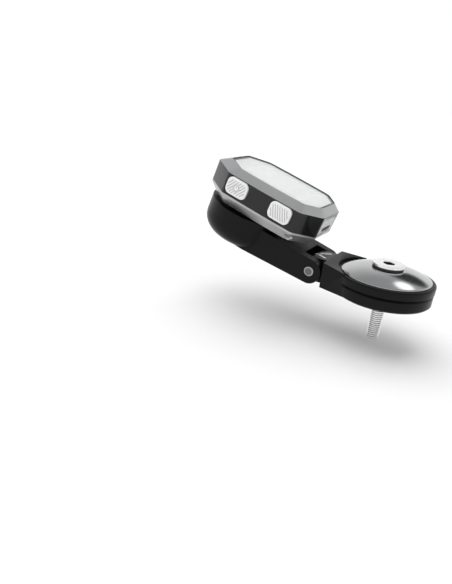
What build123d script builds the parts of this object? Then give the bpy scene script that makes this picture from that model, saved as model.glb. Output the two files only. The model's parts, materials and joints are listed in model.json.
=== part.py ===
"""A cycling computer on its adjustable stem-cap mount.

The row frame stands on the stem's top face: the origin is the centre of the seat, on the axis of
the steerer bolt, +Z points up that axis, +Y points forward along the bicycle and +X to the
rider's right. The computer and its cradle are drawn in the head plane, whose own axes are called
across (the rider's right), along (towards the display's top) and height (out of the screen).
Millimetres throughout.
"""

import os
from math import atan2, cos, degrees, hypot, radians, sin

from build123d import *

os.makedirs("parts", exist_ok=True)

# ---------------------------------------------------------------- driving sizes
# The computer's case, measured at its widest line
head_width = 42.0
head_front = 30.2
head_rear = 30.2
front_cut = (10.1, 12.3)  # corner cut off across and along
rear_cut = (10.1, 8.5)
side_bow = 0.5  # how far the long sides swell between the corners
corner_round = 3.0
bezel_height = 3.3
band_height = 10.0
casing_strip = 0.9  # straight rim of the lower casing
casing_depth = 4.6  # its tapered part below the rim

# The head's place on the mount, with the display tipped up towards the rider
head_reach = 59.5
head_lift = 40.0
head_tip = 16.47
twist_along = 9.5  # the quarter-turn axis, ahead of the case's centre

# The mount
hinge_reach = 32.8
hinge_lift = 6.0
knuckle_radius = 5.8
arm_half_width = 13.0
cup_radius = 20.0
seat_radius = 22.3
rim_radius = 22.6
rim_underside = 6.4
rim_top = 10.0
cap_radius = rim_radius - 2.0
hinge_bolt_radius = 2.5
steerer_thread_radius = 3.0
steerer_bolt_reach = 22.0

# Walls and clearances
wall = 1.6
rear_wall = 3.4
window_side = 3.9  # bezel's slope, seen from above, at the sides, front and rear
window_front = 5.4
window_rear = 3.3
running_gap = 0.05  # radial, on pins that turn
moving_gap = 0.3  # between faces that pass each other
fitting_gap = 0.1  # around pieces that are fitted once
overrun = 1.0  # how far a cut is carried past an open face
end_gap = 0.2  # between a screw's end and the bottom of its hole

# ---------------------------------------------------------------- shared planes
tip_angle = radians(head_tip)
HEAD = Plane(
    origin=(0, head_reach, head_lift),
    x_dir=(1, 0, 0),
    z_dir=(0, -sin(tip_angle), cos(tip_angle)),
)


def head_point(across, along, height):
    """A point of the head plane's own axes, in the row frame."""
    return HEAD.from_local_coords(Vector(across, along, height))


def flank_plane(side, across, along, height):
    """A plane on the case's flank that faces outwards; side is 1 right and -1 left."""
    return Plane(
        origin=head_point(side * across, along, height),
        x_dir=HEAD.y_dir * side,
        z_dir=HEAD.x_dir * side,
    )


def rear_plane(along, height=0.0):
    """A plane across the head that faces its rear, with its own y axis up the head."""
    return Plane(
        origin=head_point(0, along, height), x_dir=HEAD.x_dir, z_dir=HEAD.y_dir * -1
    )


PROFILE = Plane(origin=HEAD.origin, x_dir=HEAD.y_dir, z_dir=HEAD.x_dir)
TWIST = Plane(origin=head_point(0, twist_along, 0), x_dir=HEAD.x_dir, z_dir=HEAD.z_dir)
TWIST_SECTION = Plane(
    origin=TWIST.origin, x_dir=HEAD.x_dir, z_dir=HEAD.y_dir * -1
)
TWIST_AXIS = Axis(TWIST.origin, TWIST.z_dir)


# ---------------------------------------------------------------- shared shapes
def trimmed_cut(cut, side, end):
    """The corner cut left when an outline shrinks by side at its flanks and by end at its end."""
    across, along = cut
    slant = hypot(across, along)
    corner = (side + end) / 2
    return (
        across + corner * slant / along - across * end / along - side,
        along + corner * slant / across - along * side / across - end,
    )


def case_outline(height, side=0.0, front=None, rear=None):
    """The case's eight-sided plan at a height, shrunk by these amounts, as a sketch."""
    front = side if front is None else front
    rear = side if rear is None else rear
    half = head_width / 2 - side
    corner = half - side_bow
    top = head_front - front
    bottom = -(head_rear - rear)
    front_across, front_along = trimmed_cut(front_cut, side, front)
    rear_across, rear_along = trimmed_cut(rear_cut, side, rear)
    with BuildSketch(HEAD.offset(height)) as outline:
        with BuildLine():
            Polyline(
                (-corner, top - front_along),
                (-corner + front_across, top),
                (corner - front_across, top),
                (corner, top - front_along),
            )
            ThreePointArc(
                (corner, top - front_along),
                (half, (top + bottom) / 2),
                (corner, bottom + rear_along),
            )
            Polyline(
                (corner, bottom + rear_along),
                (corner - rear_across, bottom),
                (-corner + rear_across, bottom),
                (-corner, bottom + rear_along),
            )
            ThreePointArc(
                (-corner, bottom + rear_along),
                (-half, (top + bottom) / 2),
                (-corner, top - front_along),
            )
        make_face()
        fillet(outline.vertices(), corner_round)
    return outline.sketch


def case_prism(low, high, side=0.0, front=None, rear=None, mode=Mode.ADD):
    """The case's plan, shrunk by these amounts, drawn up from one height to another."""
    extrude(case_outline(low, side, front, rear), amount=high - low, mode=mode)


def head_box(across, along, low, high, at=((0, 0),), mode=Mode.ADD):
    """A block squared to the head at each place, from one height to another."""
    with BuildSketch(HEAD.offset(low)) as plan:
        with Locations(*at):
            Rectangle(across, along)
    extrude(plan.sketch, amount=high - low, mode=mode)


def head_disc(radius, low, high, at=((0, 0),), mode=Mode.ADD):
    """An upright cylinder at each place of the head, from one height to another."""
    with BuildSketch(HEAD.offset(low)) as plan:
        with Locations(*at):
            Circle(radius)
    extrude(plan.sketch, amount=high - low, mode=mode)


def twist_disc(radius, low, high, mode=Mode.ADD):
    """A cylinder on the quarter-turn axis, from one height to another."""
    head_disc(radius, low, high, at=((0, twist_along),), mode=mode)


def cross_bore(reach, lift, radius, low, high, mode=Mode.SUBTRACT):
    """A cylinder along +X in the row frame, from one X to another."""
    with BuildSketch(Plane.YZ.offset(low)) as section:
        with Locations((reach, lift)):
            Circle(radius)
    extrude(section.sketch, amount=high - low, mode=mode)


def finish(piece, name):
    """Label a finished piece and write its file."""
    piece.part.label = name
    export_step(piece.part, f"parts/{name}.step")


# ---------------------------------------------------------------- heights in the head
lens_sink = 0.3  # how far the bezel's crest stands above the lens
lens_thickness = 1.2
lens_chamfer = 0.25
gasket_thickness = 0.2
ledge_width = 1.6
lens_top = bezel_height - lens_sink
lens_bottom = lens_top - lens_thickness
ledge_top = lens_bottom - gasket_thickness

deck_top = -0.7
deck_bottom = -1.9
casing_top = -band_height
board_rise = 4.4  # from the casing's top to the board's upper face
board_thickness = 1.0
board_top = casing_top + board_rise
board_bottom = board_top - board_thickness
casing_floor_thickness = 1.5
casing_bottom = casing_top - casing_strip - casing_depth
floor_top = casing_bottom + casing_floor_thickness

# ---------------------------------------------------------------- bezel, lens and display
with BuildPart() as bezel:
    widest = case_outline(0)
    window = case_outline(bezel_height, window_side, window_front, window_rear)
    loft([widest, window])
    case_prism(
        ledge_top, bezel_height + overrun, window_side + fitting_gap,
        window_front + fitting_gap, window_rear + fitting_gap, mode=Mode.SUBTRACT,
    )
    case_prism(
        0, ledge_top, window_side + ledge_width,
        window_front + ledge_width, window_rear + ledge_width, mode=Mode.SUBTRACT,
    )
finish(bezel, "bezel")

lens_inset = 2 * fitting_gap
with BuildPart() as lens:
    case_prism(
        lens_bottom, lens_top, window_side + lens_inset,
        window_front + lens_inset, window_rear + lens_inset,
    )
    chamfer(lens.faces().sort_by(Axis(HEAD.origin, HEAD.z_dir))[-1].edges(), lens_chamfer)
finish(lens, "lens")

with BuildPart() as lens_gasket:
    case_prism(
        ledge_top, lens_bottom, window_side + lens_inset,
        window_front + lens_inset, window_rear + lens_inset,
    )
    case_prism(
        ledge_top, lens_bottom, window_side + ledge_width,
        window_front + ledge_width, window_rear + ledge_width, mode=Mode.SUBTRACT,
    )
finish(lens_gasket, "lens_gasket")

display_side_margin = 4.1  # from the window's edge to the panel
display_end_margin = 7.85
display_width = head_width - 2 * (window_side + display_side_margin)
window_length = head_front + head_rear - window_front - window_rear
display_length = window_length - 2 * display_end_margin
display_along = (head_front - window_front - head_rear + window_rear) / 2
display_thickness = 1.5
display_bottom = ledge_top - display_thickness
backlight_margin = 0.5
border_inset = ledge_width + fitting_gap
border_overlap = 1.0  # how far the border covers the panel's edge

with BuildPart() as screen_border:
    case_prism(
        ledge_top, lens_bottom, window_side + border_inset,
        window_front + border_inset, window_rear + border_inset,
    )
    head_box(
        display_width - 2 * border_overlap, display_length - 2 * border_overlap,
        ledge_top, lens_bottom, at=((0, display_along),), mode=Mode.SUBTRACT,
    )
finish(screen_border, "screen_border")

with BuildPart() as display_panel:
    head_box(
        display_width, display_length, display_bottom, ledge_top, at=((0, display_along),)
    )
finish(display_panel, "display_panel")

with BuildPart() as backlight:
    head_box(
        display_width - 2 * backlight_margin, display_length - 2 * backlight_margin,
        deck_top, display_bottom, at=((0, display_along),),
    )
finish(backlight, "backlight")

# ---------------------------------------------------------------- buttons: shared sizes
button_length = 11.4
button_height = 8.2
button_round = 2.6
button_edge = 0.6  # rounding of the pressed face
button_lift = -band_height / 2 + 0.5
button_front_gap = 1.2  # from the straight side's ends to the buttons
button_rear_gap = 3.0
button_alongs = {
    "front": head_front - front_cut[1] - button_front_gap - button_length / 2,
    "rear": -(head_rear - rear_cut[1] - button_rear_gap - button_length / 2),
}
button_sides = {"left": -1, "right": 1}
button_proud = 0.8
button_travel = 0.8
button_body = 1.9
stem_length = 4.0
stem_height = 2.6
stem_run = 2.8
flange_margin = 1.0
flange_thickness = 0.5
seal_thickness = 0.6
seal_squeeze = 0.15
seal_margin = 1.2
switch_gap = 0.2
button_face = head_width / 2 + button_proud
button_back = button_face - button_body
button_floor = button_back - button_travel - seal_squeeze
pad_inner = button_back - stem_run + running_gap
pad_depth = head_width / 2 - wall - pad_inner
switch_face = button_back - stem_run - flange_thickness - button_travel - switch_gap

# ---------------------------------------------------------------- weather cap: shared sizes
flap_side_margin = 2.4  # from the rear face's corners to the flap
flap_width = head_width - 2 * (rear_cut[0] + flap_side_margin)
flap_thickness = 1.3
flap_barrel = 0.7
flap_pivot_height = deck_bottom - flap_barrel
flap_pin_radius = 0.35
flap_pivot_along = -(head_rear - flap_barrel)
flap_sill = 0.8  # band left standing below the flap
flap_bottom = casing_top + flap_sill
flap_inner = -(head_rear - flap_thickness)
recess_gap = 0.4
recess_floor = flap_inner + recess_gap
pin_engagement = 1.2

socket_width = 7.6
socket_height = 2.7
socket_depth = 5.3
socket_shell = 0.35
socket_lift = board_bottom - socket_height / 2
socket_setback = 0.5
socket_face = recess_floor + socket_setback
plug_side_gap = 0.9
plug_height = 1.1
plug_reach = 1.0
nail_lip_width = 9.0
nail_lip_height = 1.0
nail_lip_reach = 0.8
nail_lip_rise = 0.6

# ---------------------------------------------------------------- screws into the case
case_screw_side = 12.5  # from the case's sides and ends to each screw
case_screw_end = 8.2
case_screw_places = [
    (side * (head_width / 2 - case_screw_side), along)
    for side in (-1, 1)
    for along in (head_front - case_screw_end, case_screw_end - head_rear)
]
case_screw_radius = 0.8
case_screw_head = 1.5
case_screw_head_depth = 1.1
case_screw_drive = 0.6
case_screw_tip = casing_top + 5.0
post_radius = 2.2

# ---------------------------------------------------------------- display ribbon: shared sizes
ribbon = 0.2  # its thickness
ribbon_width = 10.0
ribbon_room = 0.5
ribbon_bow = 0.6  # how far it stands off behind the panel
ribbon_start = display_along - display_length / 2 - ribbon
ribbon_fold = ribbon_start - ribbon_bow

# ---------------------------------------------------------------- middle frame
with BuildPart() as side_band:
    case_prism(casing_top, 0)
    case_prism(casing_top, deck_bottom, wall, wall, rear_wall, mode=Mode.SUBTRACT)
    case_prism(deck_top, 0, wall, wall, wall, mode=Mode.SUBTRACT)
    # pads that thicken the wall behind each button
    for side in button_sides.values():
        for along in button_alongs.values():
            with BuildSketch(flank_plane(side, pad_inner, along, button_lift)):
                Rectangle(button_length, button_height)
            extrude(amount=pad_depth + wall / 2)
    # posts for the case screws
    head_disc(post_radius, casing_top, deck_bottom, at=case_screw_places)
    head_disc(
        case_screw_radius, casing_top, case_screw_tip + 2 * end_gap,
        at=case_screw_places, mode=Mode.SUBTRACT,
    )
    # slot for the display's ribbon
    head_box(
        ribbon_width + 2 * ribbon_room, 2 * ribbon_room + ribbon, deck_bottom, deck_top,
        at=((0, ribbon_fold),), mode=Mode.SUBTRACT,
    )
    # each button's pocket, its seal's seat and its stem hole
    for side in button_sides.values():
        for along in button_alongs.values():
            with BuildSketch(flank_plane(side, button_floor, along, button_lift)):
                RectangleRounded(
                    button_length + 2 * moving_gap, button_height + 2 * moving_gap,
                    button_round + moving_gap,
                )
            extrude(amount=button_face - button_floor, mode=Mode.SUBTRACT)
            with BuildSketch(flank_plane(side, button_floor, along, button_lift)):
                Rectangle(stem_length + 2 * seal_margin, stem_height + 2 * seal_margin)
            extrude(amount=-seal_thickness, mode=Mode.SUBTRACT)
            with BuildSketch(flank_plane(side, button_floor, along, button_lift)):
                Rectangle(stem_length + 2 * moving_gap, stem_height + 2 * moving_gap)
            extrude(amount=-(button_floor - pad_inner), mode=Mode.SUBTRACT)
    # the rear recess for the weather cap, its pin and the charging socket
    recess_low = flap_bottom - moving_gap
    recess_high = flap_pivot_height + flap_barrel + moving_gap
    with BuildSketch(rear_plane(recess_floor, (recess_low + recess_high) / 2)):
        Rectangle(flap_width + 2 * moving_gap, recess_high - recess_low)
    extrude(amount=head_rear, mode=Mode.SUBTRACT)
    with BuildSketch(flank_plane(1, 0, flap_pivot_along, flap_pivot_height)):
        Circle(flap_pin_radius)
    extrude(
        amount=flap_width / 2 + pin_engagement, both=True, mode=Mode.SUBTRACT
    )
    with BuildSketch(rear_plane(-(head_rear - rear_wall - overrun), socket_lift)):
        Rectangle(socket_width + 2 * moving_gap, socket_height + 2 * moving_gap)
    extrude(amount=rear_wall, mode=Mode.SUBTRACT)
finish(side_band, "side_band")

# ---------------------------------------------------------------- quarter turn: shared sizes
cup_wall = 3.5
insert_radius = cup_radius - cup_wall
lip_radius = insert_radius - 5.5
drum_gap = 0.35
drum_radius = lip_radius - drum_gap

# ---------------------------------------------------------------- lower casing
casing_taper = 3.6
cavity_inset = 4.4
groove_inset = 1.7
groove_width = 0.9
groove_depth = 0.7
boss_flange_radius = 12.5
boss_flange_thickness = 0.6
boss_screw_circle = boss_flange_radius - 6.1
boss_screw_radius = 1.0
boss_screw_head = 1.8
boss_screw_head_depth = 1.2
boss_screw_drive = 0.8
vent_place = (0, -(head_rear - 14.2))
vent_hole = 0.6
membrane_radius = 2.0
membrane_thickness = 0.3
tether_slot = 3.4  # length of the eyelet along the case
tether_place = (-(head_width / 2 - 2.4), -(head_rear - 9.6))
tether_depth = 4.0  # how far it runs in from the side
tether_floor = casing_bottom + 2.2
tether_height = 1.0
tether_exit = (tether_place[0] + 1.6, tether_place[1])
tether_exit_width = 1.2
boss_screw_places = [
    (
        boss_screw_circle * sin(radians(turn)),
        twist_along + boss_screw_circle * cos(radians(turn)),
    )
    for turn in (60, 180, 300)
]

with BuildPart() as lower_casing:
    case_prism(casing_top - casing_strip, casing_top)
    shoulder = case_outline(casing_top - casing_strip)
    underside = case_outline(casing_bottom, casing_taper)
    loft([shoulder, underside])
    case_prism(floor_top, casing_top, cavity_inset, mode=Mode.SUBTRACT)
    # seal groove in the rim
    with BuildPart(mode=Mode.PRIVATE) as groove:
        case_prism(casing_top - groove_depth, casing_top, groove_inset)
        case_prism(
            casing_top - groove_depth, casing_top, groove_inset + groove_width,
            mode=Mode.SUBTRACT,
        )
    add(groove.part, mode=Mode.SUBTRACT)
    # posts, and holes for the screws with their sunk heads
    head_disc(post_radius, floor_top, casing_top, at=case_screw_places)
    head_disc(
        case_screw_radius + fitting_gap, casing_bottom, casing_top,
        at=case_screw_places, mode=Mode.SUBTRACT,
    )
    head_disc(
        case_screw_head + fitting_gap, casing_bottom,
        casing_bottom + case_screw_head_depth + end_gap, at=case_screw_places,
        mode=Mode.SUBTRACT,
    )
    # seat of the quarter-turn boss and its screw holes
    twist_disc(
        boss_flange_radius, casing_bottom, casing_bottom + boss_flange_thickness,
        mode=Mode.SUBTRACT,
    )
    head_disc(
        boss_screw_radius, casing_bottom, floor_top, at=boss_screw_places, mode=Mode.SUBTRACT
    )
    head_disc(vent_hole, casing_bottom, floor_top, at=(vent_place,), mode=Mode.SUBTRACT)
    # eyelet for a safety tether at the left rear corner
    head_box(
        tether_depth, tether_slot, tether_floor, tether_floor + tether_height,
        at=(tether_place,), mode=Mode.SUBTRACT,
    )
    head_box(
        tether_exit_width, tether_slot, casing_bottom - overrun, tether_floor,
        at=(tether_exit,), mode=Mode.SUBTRACT,
    )
finish(lower_casing, "lower_casing")

with BuildPart() as case_seal:
    case_prism(casing_top - groove_depth, casing_top, groove_inset)
    case_prism(
        casing_top - groove_depth, casing_top, groove_inset + groove_width,
        mode=Mode.SUBTRACT,
    )
finish(case_seal, "case_seal")

with BuildPart() as case_screws:
    head_low = casing_bottom + end_gap
    head_disc(
        case_screw_head, head_low, head_low + case_screw_head_depth, at=case_screw_places
    )
    head_disc(
        case_screw_radius, head_low + case_screw_head_depth, case_screw_tip,
        at=case_screw_places,
    )
    head_disc(
        case_screw_drive, head_low, head_low + case_screw_drive, at=case_screw_places,
        mode=Mode.SUBTRACT,
    )
finish(case_screws, "case_screws")

with BuildPart() as vent_membrane:
    head_disc(membrane_radius, floor_top, floor_top + membrane_thickness, at=(vent_place,))
finish(vent_membrane, "vent_membrane")

# ---------------------------------------------------------------- inside the case
board_inset = 5.4
board_front_inset = 3.8
board_rear_gap = 0.6
battery_side = 10.5  # from the case's sides and ends to the cell
battery_end = 13.2
battery_width = head_width - 2 * battery_side
battery_length = head_front + head_rear - 2 * battery_end
battery_along = (head_front - head_rear) / 2
battery_thickness = 4.0
battery_round = 1.5
pad_side = 1.0
pad_end = 5.0
pad_thickness = 0.4
shield_width = 20.0
shield_length = 22.0
shield_height = 1.6
shield_sheet = 0.3
shield_place = (0, 2.0)
antenna_width = 11.0
antenna_length = 3.4
antenna_height = 1.6
antenna_place = (0, head_front - 6.8)
buzzer_radius = 3.8
buzzer_height = 2.0
buzzer_port = 0.8
buzzer_port_depth = 0.6
buzzer_place = (0, head_front - 8.7)
sensor_side = 3.0
sensor_height = 1.0
sensor_place = (0, -(head_rear - 9.7))
switch_width = 6.0
switch_height = 3.0
switch_depth = 3.6
switch_tip_radius = 0.9
switch_tip_reach = 0.15

with BuildPart() as circuit_board:
    case_prism(board_bottom, board_top, board_inset, board_front_inset, rear_wall + board_rear_gap)
    head_disc(
        post_radius + moving_gap, board_bottom, board_top, at=case_screw_places,
        mode=Mode.SUBTRACT,
    )
finish(circuit_board, "circuit_board")

with BuildPart() as battery_pad:
    head_box(
        battery_width - 2 * pad_side, battery_length - 2 * pad_end, floor_top,
        floor_top + pad_thickness, at=((0, battery_along),),
    )
finish(battery_pad, "battery_pad")

with BuildPart() as battery:
    battery_low = floor_top + pad_thickness
    head_box(
        battery_width, battery_length, battery_low, battery_low + battery_thickness,
        at=((0, battery_along),),
    )
    upright = battery.edges().filter_by(Axis(HEAD.origin, HEAD.z_dir))
    fillet(upright, battery_round)
finish(battery, "battery")

with BuildPart() as radio_shield:
    head_box(
        shield_width, shield_length, board_top, board_top + shield_height, at=(shield_place,)
    )
    head_box(
        shield_width - 2 * shield_sheet, shield_length - 2 * shield_sheet, board_top,
        board_top + shield_height - shield_sheet, at=(shield_place,), mode=Mode.SUBTRACT,
    )
finish(radio_shield, "radio_shield")

with BuildPart() as satellite_antenna:
    head_box(
        antenna_width, antenna_length, board_top, board_top + antenna_height,
        at=(antenna_place,),
    )
finish(satellite_antenna, "satellite_antenna")

with BuildPart() as buzzer:
    buzzer_low = board_bottom - buzzer_height
    head_disc(buzzer_radius, buzzer_low, board_bottom, at=(buzzer_place,))
    head_disc(
        buzzer_port, buzzer_low, buzzer_low + buzzer_port_depth, at=(buzzer_place,),
        mode=Mode.SUBTRACT,
    )
finish(buzzer, "buzzer")

with BuildPart() as pressure_sensor:
    head_box(
        sensor_side, sensor_side, board_bottom - sensor_height, board_bottom,
        at=(sensor_place,),
    )
finish(pressure_sensor, "pressure_sensor")

socket_round = 0.6
socket_back = 0.6
tongue_width = 5.0
tongue_thickness = 0.5
tongue_setback = 1.5
with BuildPart() as usb_socket:
    with BuildSketch(rear_plane(socket_face, socket_lift)):
        RectangleRounded(socket_width, socket_height, socket_round)
    extrude(amount=-socket_depth)
    with BuildSketch(rear_plane(socket_face, socket_lift)):
        RectangleRounded(
            socket_width - 2 * socket_shell, socket_height - 2 * socket_shell,
            socket_round - socket_shell,
        )
    extrude(amount=-(socket_depth - socket_back), mode=Mode.SUBTRACT)
    with BuildSketch(rear_plane(socket_face + tongue_setback, socket_lift)):
        Rectangle(tongue_width, tongue_thickness)
    extrude(amount=-(socket_depth - tongue_setback - socket_back / 2))
finish(usb_socket, "usb_socket")

ribbon_tail = 6.0
with BuildPart() as display_ribbon:
    with BuildSketch(PROFILE):
        with BuildLine():
            path = Polyline(
                (ribbon_start, display_bottom + ribbon),
                (ribbon_fold, display_bottom + ribbon),
                (ribbon_fold, board_top + ribbon / 2),
                (ribbon_start + ribbon_tail, board_top + ribbon / 2),
            )
            offset(path, amount=ribbon / 2)
        make_face()
    extrude(amount=ribbon_width / 2, both=True)
finish(display_ribbon, "display_ribbon")

# ---------------------------------------------------------------- buttons and switches
with BuildPart() as button_seals:
    for side in button_sides.values():
        for along in button_alongs.values():
            with BuildSketch(flank_plane(side, button_floor, along, button_lift)):
                Rectangle(stem_length + 2 * seal_margin, stem_height + 2 * seal_margin)
                Rectangle(
                    stem_length + 2 * fitting_gap, stem_height + 2 * fitting_gap,
                    mode=Mode.SUBTRACT,
                )
            extrude(amount=-seal_thickness)
finish(button_seals, "button_seals")

with BuildPart() as button_switches:
    for side in button_sides.values():
        for along in button_alongs.values():
            lift = board_top + switch_height / 2
            with BuildSketch(flank_plane(side, switch_face, along, lift)):
                Rectangle(switch_width, switch_height)
            extrude(amount=-switch_depth)
            with BuildSketch(flank_plane(side, switch_face, along, button_lift)):
                Circle(switch_tip_radius)
            extrude(amount=switch_tip_reach)
finish(button_switches, "button_switches")

for side_name, side in button_sides.items():
    for end_name, along in button_alongs.items():
        with BuildPart() as button:
            with BuildSketch(flank_plane(side, button_back, along, button_lift)):
                RectangleRounded(button_length, button_height, button_round)
            extrude(amount=button_body)
            outward = Axis(HEAD.origin, HEAD.x_dir * side)
            fillet(button.faces().sort_by(outward)[-1].edges(), button_edge)
            with BuildSketch(flank_plane(side, button_back, along, button_lift)):
                Rectangle(stem_length, stem_height)
            extrude(amount=-stem_run)
            with BuildSketch(
                flank_plane(side, button_back - stem_run, along, button_lift)
            ):
                Rectangle(stem_length + 2 * flange_margin, stem_height + 2 * flange_margin)
            extrude(amount=-flange_thickness)
        finish(button, f"button_{side_name}_{end_name}")

# ---------------------------------------------------------------- weather cap and its pin
with BuildPart() as weather_cap:
    flap_top = flap_pivot_height
    with BuildSketch(rear_plane(flap_inner, (flap_top + flap_bottom) / 2)):
        Rectangle(flap_width, flap_top - flap_bottom)
    extrude(amount=flap_thickness)
    with BuildSketch(flank_plane(1, 0, flap_pivot_along, flap_pivot_height)):
        Circle(flap_barrel)
    extrude(amount=flap_width / 2, both=True)
    # the plug that closes the charging socket, and the lip for a finger nail
    with BuildSketch(rear_plane(flap_inner, socket_lift)):
        Rectangle(socket_width - 2 * plug_side_gap, plug_height)
    extrude(amount=-plug_reach)
    with BuildSketch(rear_plane(-head_rear, flap_bottom + nail_lip_rise)):
        SlotOverall(nail_lip_width, nail_lip_height)
    extrude(amount=nail_lip_reach)
    with BuildSketch(flank_plane(1, 0, flap_pivot_along, flap_pivot_height)):
        Circle(flap_pin_radius + running_gap)
    extrude(amount=flap_width / 2, both=True, mode=Mode.SUBTRACT)
finish(weather_cap, "weather_cap")

with BuildPart() as weather_cap_pin:
    with BuildSketch(flank_plane(1, 0, flap_pivot_along, flap_pivot_height)):
        Circle(flap_pin_radius)
    extrude(amount=flap_width / 2 + pin_engagement, both=True)
finish(weather_cap_pin, "weather_cap_pin")

# ---------------------------------------------------------------- quarter-turn boss and insert
cup_gap = 1.1  # between the casing and the cup's rim
cup_rim = casing_bottom - cup_gap
insert_top = cup_rim - moving_gap
lip_thickness = 1.6
tab_radius = insert_radius - 2.7
tab_width = 12.4
notch_gap = 0.5
tab_thickness = 1.7
tab_gap = 0.15
insert_floor = 1.5
lip_bottom = insert_top - lip_thickness
tab_top = lip_bottom - tab_gap
tab_bottom = tab_top - tab_thickness
drum_bottom = tab_bottom - fitting_gap
cavity_gap = 0.5
cavity_bottom = drum_bottom - cavity_gap
insert_bottom = cavity_bottom - insert_floor

with BuildPart() as quarter_turn_boss:
    twist_disc(
        boss_flange_radius - fitting_gap, casing_bottom, casing_bottom + boss_flange_thickness
    )
    twist_disc(drum_radius, drum_bottom, casing_bottom)
    with BuildSketch(TWIST.offset(tab_bottom)):
        Circle(tab_radius)
        Rectangle(2 * tab_radius, tab_width, mode=Mode.INTERSECT)
    extrude(amount=tab_thickness)
    head_disc(
        boss_screw_radius + fitting_gap, drum_bottom, casing_bottom + boss_flange_thickness,
        at=boss_screw_places, mode=Mode.SUBTRACT,
    )
    head_disc(
        boss_screw_head + fitting_gap, drum_bottom,
        drum_bottom + boss_screw_head_depth + end_gap, at=boss_screw_places,
        mode=Mode.SUBTRACT,
    )
finish(quarter_turn_boss, "quarter_turn_boss")

with BuildPart() as boss_screws:
    head_low = drum_bottom + end_gap
    head_disc(
        boss_screw_head, head_low, head_low + boss_screw_head_depth, at=boss_screw_places
    )
    head_disc(
        boss_screw_radius, head_low + boss_screw_head_depth, floor_top - end_gap,
        at=boss_screw_places,
    )
    head_disc(
        boss_screw_drive, head_low, head_low + boss_screw_drive, at=boss_screw_places,
        mode=Mode.SUBTRACT,
    )
finish(boss_screws, "boss_screws")

insert_screw_circle = tab_radius - 1.6
insert_screw_radius = 1.0
insert_screw_head = 1.9
insert_screw_drive = 0.6
cup_floor = 2.8
cup_floor_bottom = insert_bottom - cup_floor
insert_screw_places = [
    (
        insert_screw_circle * cos(radians(turn)),
        twist_along + insert_screw_circle * sin(radians(turn)),
    )
    for turn in (45, 135, 225, 315)
]

with BuildPart() as quarter_turn_insert:
    twist_disc(insert_radius, insert_bottom, insert_top)
    twist_disc(tab_radius + notch_gap, cavity_bottom, lip_bottom, mode=Mode.SUBTRACT)
    twist_disc(lip_radius, lip_bottom, insert_top, mode=Mode.SUBTRACT)
    with BuildSketch(TWIST.offset(lip_bottom)):
        Circle(tab_radius + notch_gap)
        Rectangle(
            tab_width + 2 * notch_gap, 2 * (tab_radius + notch_gap), mode=Mode.INTERSECT
        )
    extrude(amount=lip_thickness, mode=Mode.SUBTRACT)
    for place in insert_screw_places:
        with Locations(HEAD.offset(cavity_bottom)):
            with Locations(place):
                CounterSinkHole(
                    insert_screw_radius + fitting_gap, insert_screw_head + fitting_gap,
                    insert_floor, 90,
                )
finish(quarter_turn_insert, "quarter_turn_insert")

with BuildPart() as insert_screws:
    for place in insert_screw_places:
        with Locations(HEAD.offset(cavity_bottom)):
            with Locations(place):
                Cone(
                    insert_screw_radius, insert_screw_head,
                    insert_screw_head - insert_screw_radius,
                    align=(Align.CENTER, Align.CENTER, Align.MAX),
                )
                Cylinder(
                    insert_screw_radius, cavity_bottom - cup_floor_bottom - end_gap,
                    align=(Align.CENTER, Align.CENTER, Align.MAX),
                )
                Cylinder(
                    insert_screw_drive, insert_screw_drive,
                    align=(Align.CENTER, Align.CENTER, Align.MAX), mode=Mode.SUBTRACT,
                )
finish(insert_screws, "insert_screws")

# ---------------------------------------------------------------- cradle
cup_skirt = 8.25  # how far the cup reaches below its floor
cup_bottom = cup_floor_bottom - cup_skirt
cup_wall_bottom = cup_floor_bottom + 0.75
cup_foot_radius = cup_radius - 6.5
cup_bulge = (cup_radius - 1.5, cup_bottom + 3.6)  # point that its rounded underside passes
pocket_radius = cup_foot_radius - 0.5
fork_end = knuckle_radius + 1.1  # from the hinge axis to the closed end of the fork
bolt_head_radius = hinge_bolt_radius + 1.75
bolt_head_depth = 3.0
bolt_tip_chamfer = 0.4
socket_flats = 4.0
socket_reach = 2.4
tongue_half = 7.4
washer_thickness = 0.7
ear_inner = tongue_half + washer_thickness + fitting_gap

hinge_in_head = HEAD.to_local_coords(Vector(0, hinge_reach, hinge_lift))
hinge_along = hinge_in_head.Y
hinge_height = hinge_in_head.Z

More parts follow.
